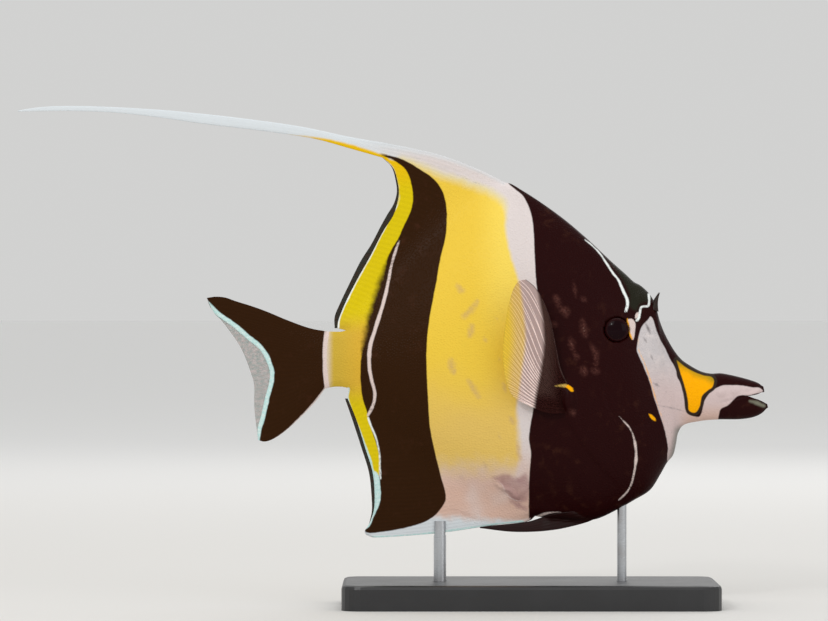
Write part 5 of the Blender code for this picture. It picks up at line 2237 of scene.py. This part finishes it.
@dataclass(frozen=True)
class Pectoral:
    """A clear, fanned pectoral fin that stands off the flank."""

    flesh: Flesh
    lead: Knots = (
        (12.1, 70.1), (9.5, 75.2), (7.6, 83.5), (5.7, 92.2), (3.1, 98.6), (0.7, 102.2), (-1.9, 104.3),
    )
    end: Knots = (
        (-1.9, 104.3), (-3.9, 103.9), (-5.5, 101.8), (-6.9, 97.6), (-8.1, 91.2), (-9.0, 79.0),
        (-7.4, 70.4), (-5.2, 66.9), (-1.7, 65.0),
    )
    last: Knots = ((11.1, 62.1), (4.7, 62.6), (-1.7, 65.0))
    root: Knots = ((12.1, 70.1), (11.1, 62.1))
    sag: float = 4.0
    flare: float = 0.17
    stand_off: float = 1.1
    sunk: float = 2.2
    half: float = 0.06
    ripple: float = 0.10
    rays: int = 22
    fork: float = 0.45
    fork_spread: float = 0.22
    stem: RayShape = RayShape(0.21, 0.12)
    spine_stem: RayShape = RayShape(0.21, 0.12, swell=0.05)
    cells: tuple[int, int] = (68, 34)

    def build(self, side: Side, membrane: Material, ray: Material,
              tree: Grower) -> list[Object]:
        """Makes one fin.

        Args:
            side: Which flank.
            membrane: Material of the clear skin between the rays.
            ray: Material of the rays.
            tree: Tree that sweeps rays.

        Returns:
            The membrane and the rays.
        """
        grid, middle = self._surface(side)
        ripple = self.ripple * np.cos(np.linspace(0, 1, len(grid)) * math.tau * (self.rays - 1))
        away = ease(0.1, 0.5, np.linspace(0, 1, grid.shape[1]))
        middle = middle + side.value * ripple[:, None] * away[None]
        sheet = plate(f"pectoral_membrane_{side.word}", grid, np.full(middle.shape, self.half),
                      middle)
        sheet.data.materials.append(membrane)
        paths = self._paths(side)[1:]
        return [sheet, self.stem.sweep(f"pectoral_rays_{side.word}", paths, ray, tree)]

    def spine(self, side: Side, finish: Material, tree: Grower) -> Object:
        """Makes the dark spine along the leading edge."""
        path = self._paths(side)[:1]
        return self.spine_stem.sweep(f"pectoral_spine_{side.word}", path, finish, tree)

    def _surface(self, side: Side) -> tuple[Array, Array]:
        """Side view points of the fin and the sideways place of each.

        Args:
            side: Which flank.

        Returns:
            The points, and the places.
        """
        across, outward = self.cells
        shares = np.linspace(0, 1, across + 1)
        v = np.linspace(0, 1, outward + 1)
        roots, tips = spaced(np.array(self.root), shares), spaced(smooth_line(self.end), shares)
        out = v[None, :, None]
        grid = (1 - out) * roots[:, None] + out * tips[:, None]
        for number, edge, share in ((0, self.lead, 1 - shares), (-1, self.last, shares)):
            bend = spaced(smooth_line(edge), v) - grid[number]
            grid = grid + (share ** 5)[:, None, None] * bend[None]
        chord = tips - roots
        chord /= np.linalg.norm(chord, axis=1)[:, None]
        aside = np.column_stack([-chord[:, 1], chord[:, 0]])
        amount = self.sag * ease(0.0, 0.3, shares) * np.sqrt(1 - shares)
        bow = np.outer(amount, 6.75 * v * (1 - v) ** 2)
        grid = grid + bow[..., None] * aside[:, None]
        root = np.array(self.root)
        seat = self.flesh.side(root).max() + self.stand_off
        distance = np.linalg.norm(grid - root.mean(0), axis=2)
        rise = seat + self.flare * distance - self.sunk * (1 - ease(0.0, 0.14, v))[None]
        return grid, side.value * rise

    def _paths(self, side: Side) -> list[Array]:
        """Ray lines in metres, each forked towards its tip.

        Args:
            side: Which flank.

        Returns:
            Points of each line, the spine's first.
        """
        grid, middle = self._surface(side)
        solid = np.concatenate([grid[..., :1], middle[..., None], grid[..., 1:]], 2) * MM
        shares = np.linspace(0, 1, len(grid))
        v = np.linspace(0, 1, grid.shape[1])
        paths = []
        for number in range(self.rays):
            share = number / (self.rays - 1)
            forks = (0.0,) if number == 0 else (-1.0, 1.0)
            for fork in forks:
                wide = fork * self.fork_spread / (self.rays - 1) * ease(self.fork, 1.0, v)
                at = np.clip(share + wide, 0.0, 1.0)
                path = np.array([
                    [np.interp(a, shares, solid[:, j, axis]) for axis in range(3)]
                    for j, a in enumerate(at)
                ])
                start = 0 if fork <= 0 else int(self.fork * len(v))
                paths.append(path[start:])
        return paths


@dataclass(frozen=True)
class Pelvic:
    """A slender pelvic fin folded back along the belly."""

    flesh: Flesh
    above: Knots = (
        (22.4, 32.0), (17.5, 31.0), (12.8, 30.4), (7.0, 29.4), (-0.3, 27.0), (-8.0, 26.1), (-16.0, 25.4),
    )
    below: Knots = (
        (24.4, 30.2), (19.6, 27.4), (14.1, 25.7), (7.0, 24.3), (-5.1, 23.8), (-16.0, 25.0),
    )
    half: float = 0.42
    tip_half: float = 0.15
    gap: float = 0.2
    tuck: float = 0.6
    splay: float = 6.0
    splay_x: float = 9.0
    cells: tuple[int, int] = (24, 60)

    def build(self, side: Side) -> Object:
        """Makes one fin.

        Args:
            side: Which flank.

        Returns:
            The fin.
        """
        across, outward = self.cells
        shares, v = np.linspace(0, 1, across + 1), np.linspace(0, 1, outward + 1)
        below, above = spaced(smooth_line(self.below), v), spaced(smooth_line(self.above), v)
        roots = below[:1] + (above[0] - below[0]) * shares[:, None]
        tips = below[-1:] + (above[-1] - below[-1]) * shares[:, None]
        grid = fan(roots, tips, below, above, shares)
        half = self.tip_half + (self.half - self.tip_half) * (1 - v) ** 1.2
        edge = 0.3 + 0.7 * np.sqrt(np.clip(1 - (2 * shares - 1) ** 2, 0, 1))
        ridge = 1 + 0.12 * np.cos(shares * math.tau * 5)
        half = (edge * ridge)[:, None] * half[None]
        flat = grid.reshape(-1, 2)
        clear = self.half + self.gap
        belly = np.interp(flat[:, 0], *smooth_line(self.flesh.belly).T)
        beside = np.where(flat[:, 1] > belly - self.tuck, self.flesh.side(flat) + clear, clear)
        splay = ease(0.0, self.splay, self.splay_x - flat[:, 0])
        middle = np.maximum(beside, (1.1 + clear) * splay).reshape(half.shape)
        middle = 0.9 + (middle - 0.9) * ease(0.0, 0.32, v)[None]
        return plate(f"pelvic_fin_{side.word}_skin", grid, half, side.value * middle)


# Eyes and horns


def turned(name: str, rings: Array, segments: int, centre: tuple[float, float],
           side: Side) -> Object:
    """Closed round piece turned about a sideways axis.

    Args:
        name: Name of the piece.
        rings: Radius and sideways place of each ring, the first and last of no radius.
        segments: Points round each ring.
        centre: Side view place of the axis.
        side: Which flank.

    Returns:
        The new object.
    """
    angle = np.linspace(0, math.tau, segments, endpoint=False)
    loops = [
        np.column_stack([centre[0] + r * np.cos(angle), np.full(segments, side.value * y),
                         centre[1] + r * np.sin(angle)]) for r, y in rings[1:-1]
    ]
    poles = [(centre[0], side.value * rings[k][1], centre[1]) for k in (0, -1)]
    points = np.vstack([*loops, poles]) * MM
    first, last = len(points) - 2, len(points) - 1
    faces: list[tuple[int, ...]] = []
    for k in range(segments):
        n = (k + 1) % segments
        faces.append((first, k, n))
        for row in range(len(loops) - 1):
            a, b = row * segments, (row + 1) * segments
            faces.append((a + k, b + k, b + n, a + n))
        end = (len(loops) - 1) * segments
        faces.append((last, end + n, end + k))
    if side is Side.LEFT:
        faces = [face[::-1] for face in faces]
    return new_object(name, points, [face[::-1] for face in faces])


@dataclass(frozen=True)
class EyePieces:
    """The two eyeballs, domed in front and deep behind."""

    eye: Eye
    flesh: Flesh
    segments: int = 56

    def build(self, side: Side) -> Object:
        """Makes one eyeball.

        Args:
            side: Which flank.

        Returns:
            The eyeball.
        """
        seat = float(self.flesh.side(np.array([self.eye.centre]))[0])
        front = np.linspace(0, math.pi / 2, 18)
        back = np.linspace(math.pi / 2, math.pi, 14)[1:]
        dome = self.eye.proud - self.eye.equator
        rings = [
            (self.eye.radius * math.sin(a), seat + self.eye.equator + depth * math.cos(a))
            for angles, depth in ((front, dome), (back, self.eye.depth)) for a in angles
        ]
        return turned(f"eyeball_{side.word}", np.array(rings), self.segments, self.eye.centre,
                      side)


@dataclass(frozen=True)
class HornPieces:
    """The small thorn over each eye."""

    root: tuple[float, float] = (39.7, 94.6)
    tip: tuple[float, float] = (41.4, 100.3)
    spread: float = 3.0
    lean: float = 0.3
    radius: float = 1.35
    tip_radius: float = 0.08
    bend: float = -0.35

    def build(self, side: Side) -> Object:
        """Makes one horn.

        Args:
            side: Which flank.

        Returns:
            The horn.
        """
        rings, spokes = 18, 20
        root = np.array([self.root[0], side.value * self.spread, self.root[1]])
        tip = np.array([self.tip[0], side.value * (self.spread + self.lean), self.tip[1]])
        axis = (tip - root) / np.linalg.norm(tip - root)
        out = np.cross(axis, (0.0, 1.0, 0.0))
        out /= np.linalg.norm(out)
        other = np.cross(axis, out)
        angle = np.linspace(0, math.tau, spokes, endpoint=False)
        loops = []
        for share in np.linspace(0, 1, rings):
            radius = self.tip_radius + (self.radius - self.tip_radius) * (1 - share) ** 1.2
            middle = root + (tip - root) * share - out * self.bend * math.sin(math.pi * share)
            ring = middle + radius * (np.cos(angle)[:, None] * out + np.sin(angle)[:, None] * other)
            loops.append(ring)
        points = np.vstack(loops) * MM
        faces = [
            [a * spokes + k, a * spokes + (k + 1) % spokes, (a + 1) * spokes + (k + 1) % spokes,
             (a + 1) * spokes + k] for a in range(rings - 1) for k in range(spokes)
        ]
        faces.append(list(range(spokes))[::-1])
        faces.append([(rings - 1) * spokes + k for k in range(spokes)])
        return new_object(f"horn_{side.word}_skin", points, faces)


# Studio


@dataclass(frozen=True)
class Studio:
    """Pale floor, pale surroundings, soft lights and the camera."""

    distance: float = 1.5
    picture_mm: float = 264.96
    centre: tuple[float, float] = (-0.0371, 0.09456)
    floor_reach: float = 40.0
    fade: tuple[float, float] = (0.25, 2.0)
    sky: float = 0.66

    def build(self) -> None:
        """Makes the floor, lights, world and camera."""
        self._floor()
        self._lights()
        self._camera()

    def _floor(self) -> None:
        """A wide round floor of pale paper."""
        angle = np.linspace(0, math.tau, 96, endpoint=False)
        rim = self.floor_reach * np.column_stack([np.cos(angle), np.sin(angle), 0 * angle])
        floor = new_object("studio_floor", rim, [list(range(len(rim)))])
        g = Graph("studio_paper")
        tone = g.blend(g.noise(400.0, 2.0), Tint.FLOOR, (0.7, 0.69, 0.675, 1.0))
        across = g.put("ShaderNodeVectorMath", {"operation": "LENGTH"}, Vector=g.place)
        tone = g.blend(g.step(across.outputs["Value"], *self.fade), tone, (0.96, 0.96, 0.955, 1.0))
        floor.data.materials.append(g.dress(Base_Color=tone, Roughness=0.9))

    def _lights(self) -> None:
        """Large soft lights and a pale world."""
        for name, place, size, power in (
            ("key", (-0.7, -1.3, 1.1), 0.9, 4.8),
            ("catch", (-0.55, -1.25, 0.8), 0.16, 3.0),
            ("fill", (1.1, -1.2, 0.5), 1.0, 3.4),
            ("top", (0.0, 0.1, 1.5), 1.2, 5.5),
            ("back", (0.3, 1.1, 0.9), 0.9, 3.2),
        ):
            data = bpy.data.lights.new(name, "AREA")
            data.size, data.energy = size, power
            lamp = in_scene(name, data)
            lamp.location = place
            aim = np.array([0.0, 0.0, 0.09]) - np.array(place)
            lamp.rotation_euler = Vector(aim).to_track_quat("-Z", "Y").to_euler()
        world = bpy.data.worlds.new("studio_world")
        world.use_nodes = True
        surroundings = world.node_tree.nodes["Background"]
        surroundings.inputs["Color"].default_value = (0.97, 0.97, 0.96, 1.0)
        surroundings.inputs["Strength"].default_value = self.sky
        bpy.context.scene.world = world

    def _camera(self) -> None:
        """A level camera that looks at the right flank."""
        data = bpy.data.cameras.new("camera")
        data.sensor_width = 36.0
        data.lens = 36.0 * self.distance / (self.picture_mm * MM)
        data.clip_start, data.clip_end = 0.05, 200.0
        camera = in_scene("camera", data)
        camera.location = (self.centre[0], -self.distance, self.centre[1])
        camera.rotation_euler = (math.pi / 2, 0.0, 0.0)
        bpy.context.scene.camera = camera


def place(pieces: Iterable[Object]) -> None:
    """Fixes pieces to the model and reports each.

    Args:
        pieces: The pieces.
    """
    for piece in pieces:
        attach(piece, "root")
        LOG.info("%s: %d faces", piece.name, len(piece.data.polygons))


def outward(piece: Object) -> None:
    """Turns a closed piece's faces outward if they point in.

    Args:
        piece: The piece.
    """
    mesh = piece.data
    mesh.calc_loop_triangles()
    points = vertices_of(mesh)
    corners = np.array([tri.vertices for tri in mesh.loop_triangles])
    a, b, c = (points[corners[:, k]] for k in range(3))
    if np.einsum("ij,ij->i", a, np.cross(b, c)).sum() < 0:
        mesh.flip_normals()


def build_fish() -> None:
    """Makes the fish's own pieces."""
    skin = Skin()
    coat_finish = SkinFinish().build()
    hide = skin.build()
    hide.data.materials.append(coat_finish)
    place([hide])
    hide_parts("head", "trunk", "tail_peduncle", "upper_jaw", "lower_jaw", "dorsal_fin",
                "dorsal_filament", "anal_fin", "caudal_fin")
    scales, rays = scale_tree(), ray_tree()
    membrane = PectoralFinish("pectoral_membrane", Tint.MEMBRANE, Tint.PALE_GOLD,
                              Tint.VEIL, 0.8).build()
    ray = PectoralFinish("pectoral_ray", Tint.RAY, Tint.BRIGHT_GOLD, Tint.DARK_RAY, 1.0).build()
    spine_finish = FinFinish("pectoral_spine", Tint.FRONT_BROWN, Tint.VEIL).build()
    eye_finish = EyeFinish(skin.eye).build()
    horn_finish = FinFinish("horn_skin", Tint.HORN, Tint.FRONT_BROWN, roughness=0.35,
                            rougher=0.2, grain_mm=0.5, grain_depth=0.04).build()
    pelvic_finish = FinFinish("pelvic_skin", Tint.PELVIC, Tint.FRONT_BROWN, roughness=0.3).build()
    for side in Side:
        coat = ScaleCoat(skin.markings).build(side, skin.flank, coat_finish, scales)
        pectoral = Pectoral(skin.flesh)
        sheet, stems = pectoral.build(side, membrane, ray, rays)
        spine = pectoral.spine(side, spine_finish, rays)
        for piece in (sheet, stems):
            mark_piece(piece, skin.markings)
        ball = EyePieces(skin.eye, skin.flesh).build(side)
        horn = HornPieces().build(side)
        pelvic = Pelvic(skin.flesh).build(side)
        for piece, finish in ((ball, eye_finish), (horn, horn_finish), (pelvic, pelvic_finish)):
            piece.data.materials.append(finish)
            outward(piece)
        place([coat, sheet, stems, spine, ball, horn, pelvic])
        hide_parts(f"pectoral_fin_{side.word}")
        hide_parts(f"eye_{side.word}")
        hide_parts(f"horn_{side.word}")
        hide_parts(f"pelvic_fin_{side.word}")
    build_borders(skin, rays)


def build_borders(skin: Skin, rays: Grower) -> None:
    """Makes the thin borders of the dorsal, anal and tail fins.

    Args:
        skin: The skin, whose fins they carry on.
        rays: Tree that sweeps rays.
    """
    dark = FinFinish("fin_border", Tint.FRINGE, Tint.REAR_BROWN, 0.9).build()
    dark_ray = FinFinish("fin_border_ray", Tint.REAR_BROWN, Tint.FRINGE, 0.95).build()
    clear = FinFinish("tail_membrane", Tint.CLEAR_TAIL, Tint.MEMBRANE, 0.35, 0.22).build()
    clear_ray = FinFinish("tail_membrane_ray", Tint.RAY, Tint.WHITE, 0.6).build()
    dorsal = Border("dorsal_border", skin.dorsal_edge, (
        (-47.2, 143.5), (-44.3, 140.5), (-43.0, 136.3), (-42.6, 132.4), (-43.6, 128.7), (-45.7, 125.2),
        (-47.5, 122.0), (-50.8, 115.7), (-54.1, 110.5), (-57.6, 103.5), (-60.7, 97.0), (-62.5, 92.5),
        (-62.5, 88.9),
    ), 36)
    anal = Border("anal_border", skin.anal_edge[3:], (
        (-51.5, 26.2), (-50.6, 30.4), (-50.7, 35.2), (-51.5, 42.6), (-54.0, 50.9), (-56.9, 59.8),
        (-59.2, 66.4),
    ), 30)
    tail = Border("tail_border", skin.tail_edge, (
        (-103.4, 98.6), (-102.3, 95.6), (-99.9, 92.8), (-96.5, 88.5), (-92.5, 82.6), (-89.6, 75.5),
        (-88.3, 71.0), (-88.2, 63.7), (-87.0, 53.1),
    ), 44)
    for border, finish, ray_finish in (
        (dorsal, dark, dark_ray), (anal, dark, dark_ray), (tail, clear, clear_ray),
    ):
        place(border.build(finish, ray_finish, rays))


def dress_stand() -> None:
    """Gives the stand's own solids their finishes."""
    steel = SteelFinish().build()
    finishes = {
        "stand_base": LacquerFinish().build(), "stand_rod_front": steel, "stand_rod_rear": steel,
    }
    for name, finish in finishes.items():
        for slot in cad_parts[name].material_slots:
            slot.material = finish
        LOG.info("%s: dressed", name)


def main() -> None:
    """Builds every piece."""
    logging.basicConfig(level=logging.INFO, format="%(message)s")
    bpy.context.scene.view_settings.view_transform = "Standard"
    Studio().build()
    build_fish()
    dress_stand()


if __name__ == "__main__":
    main()
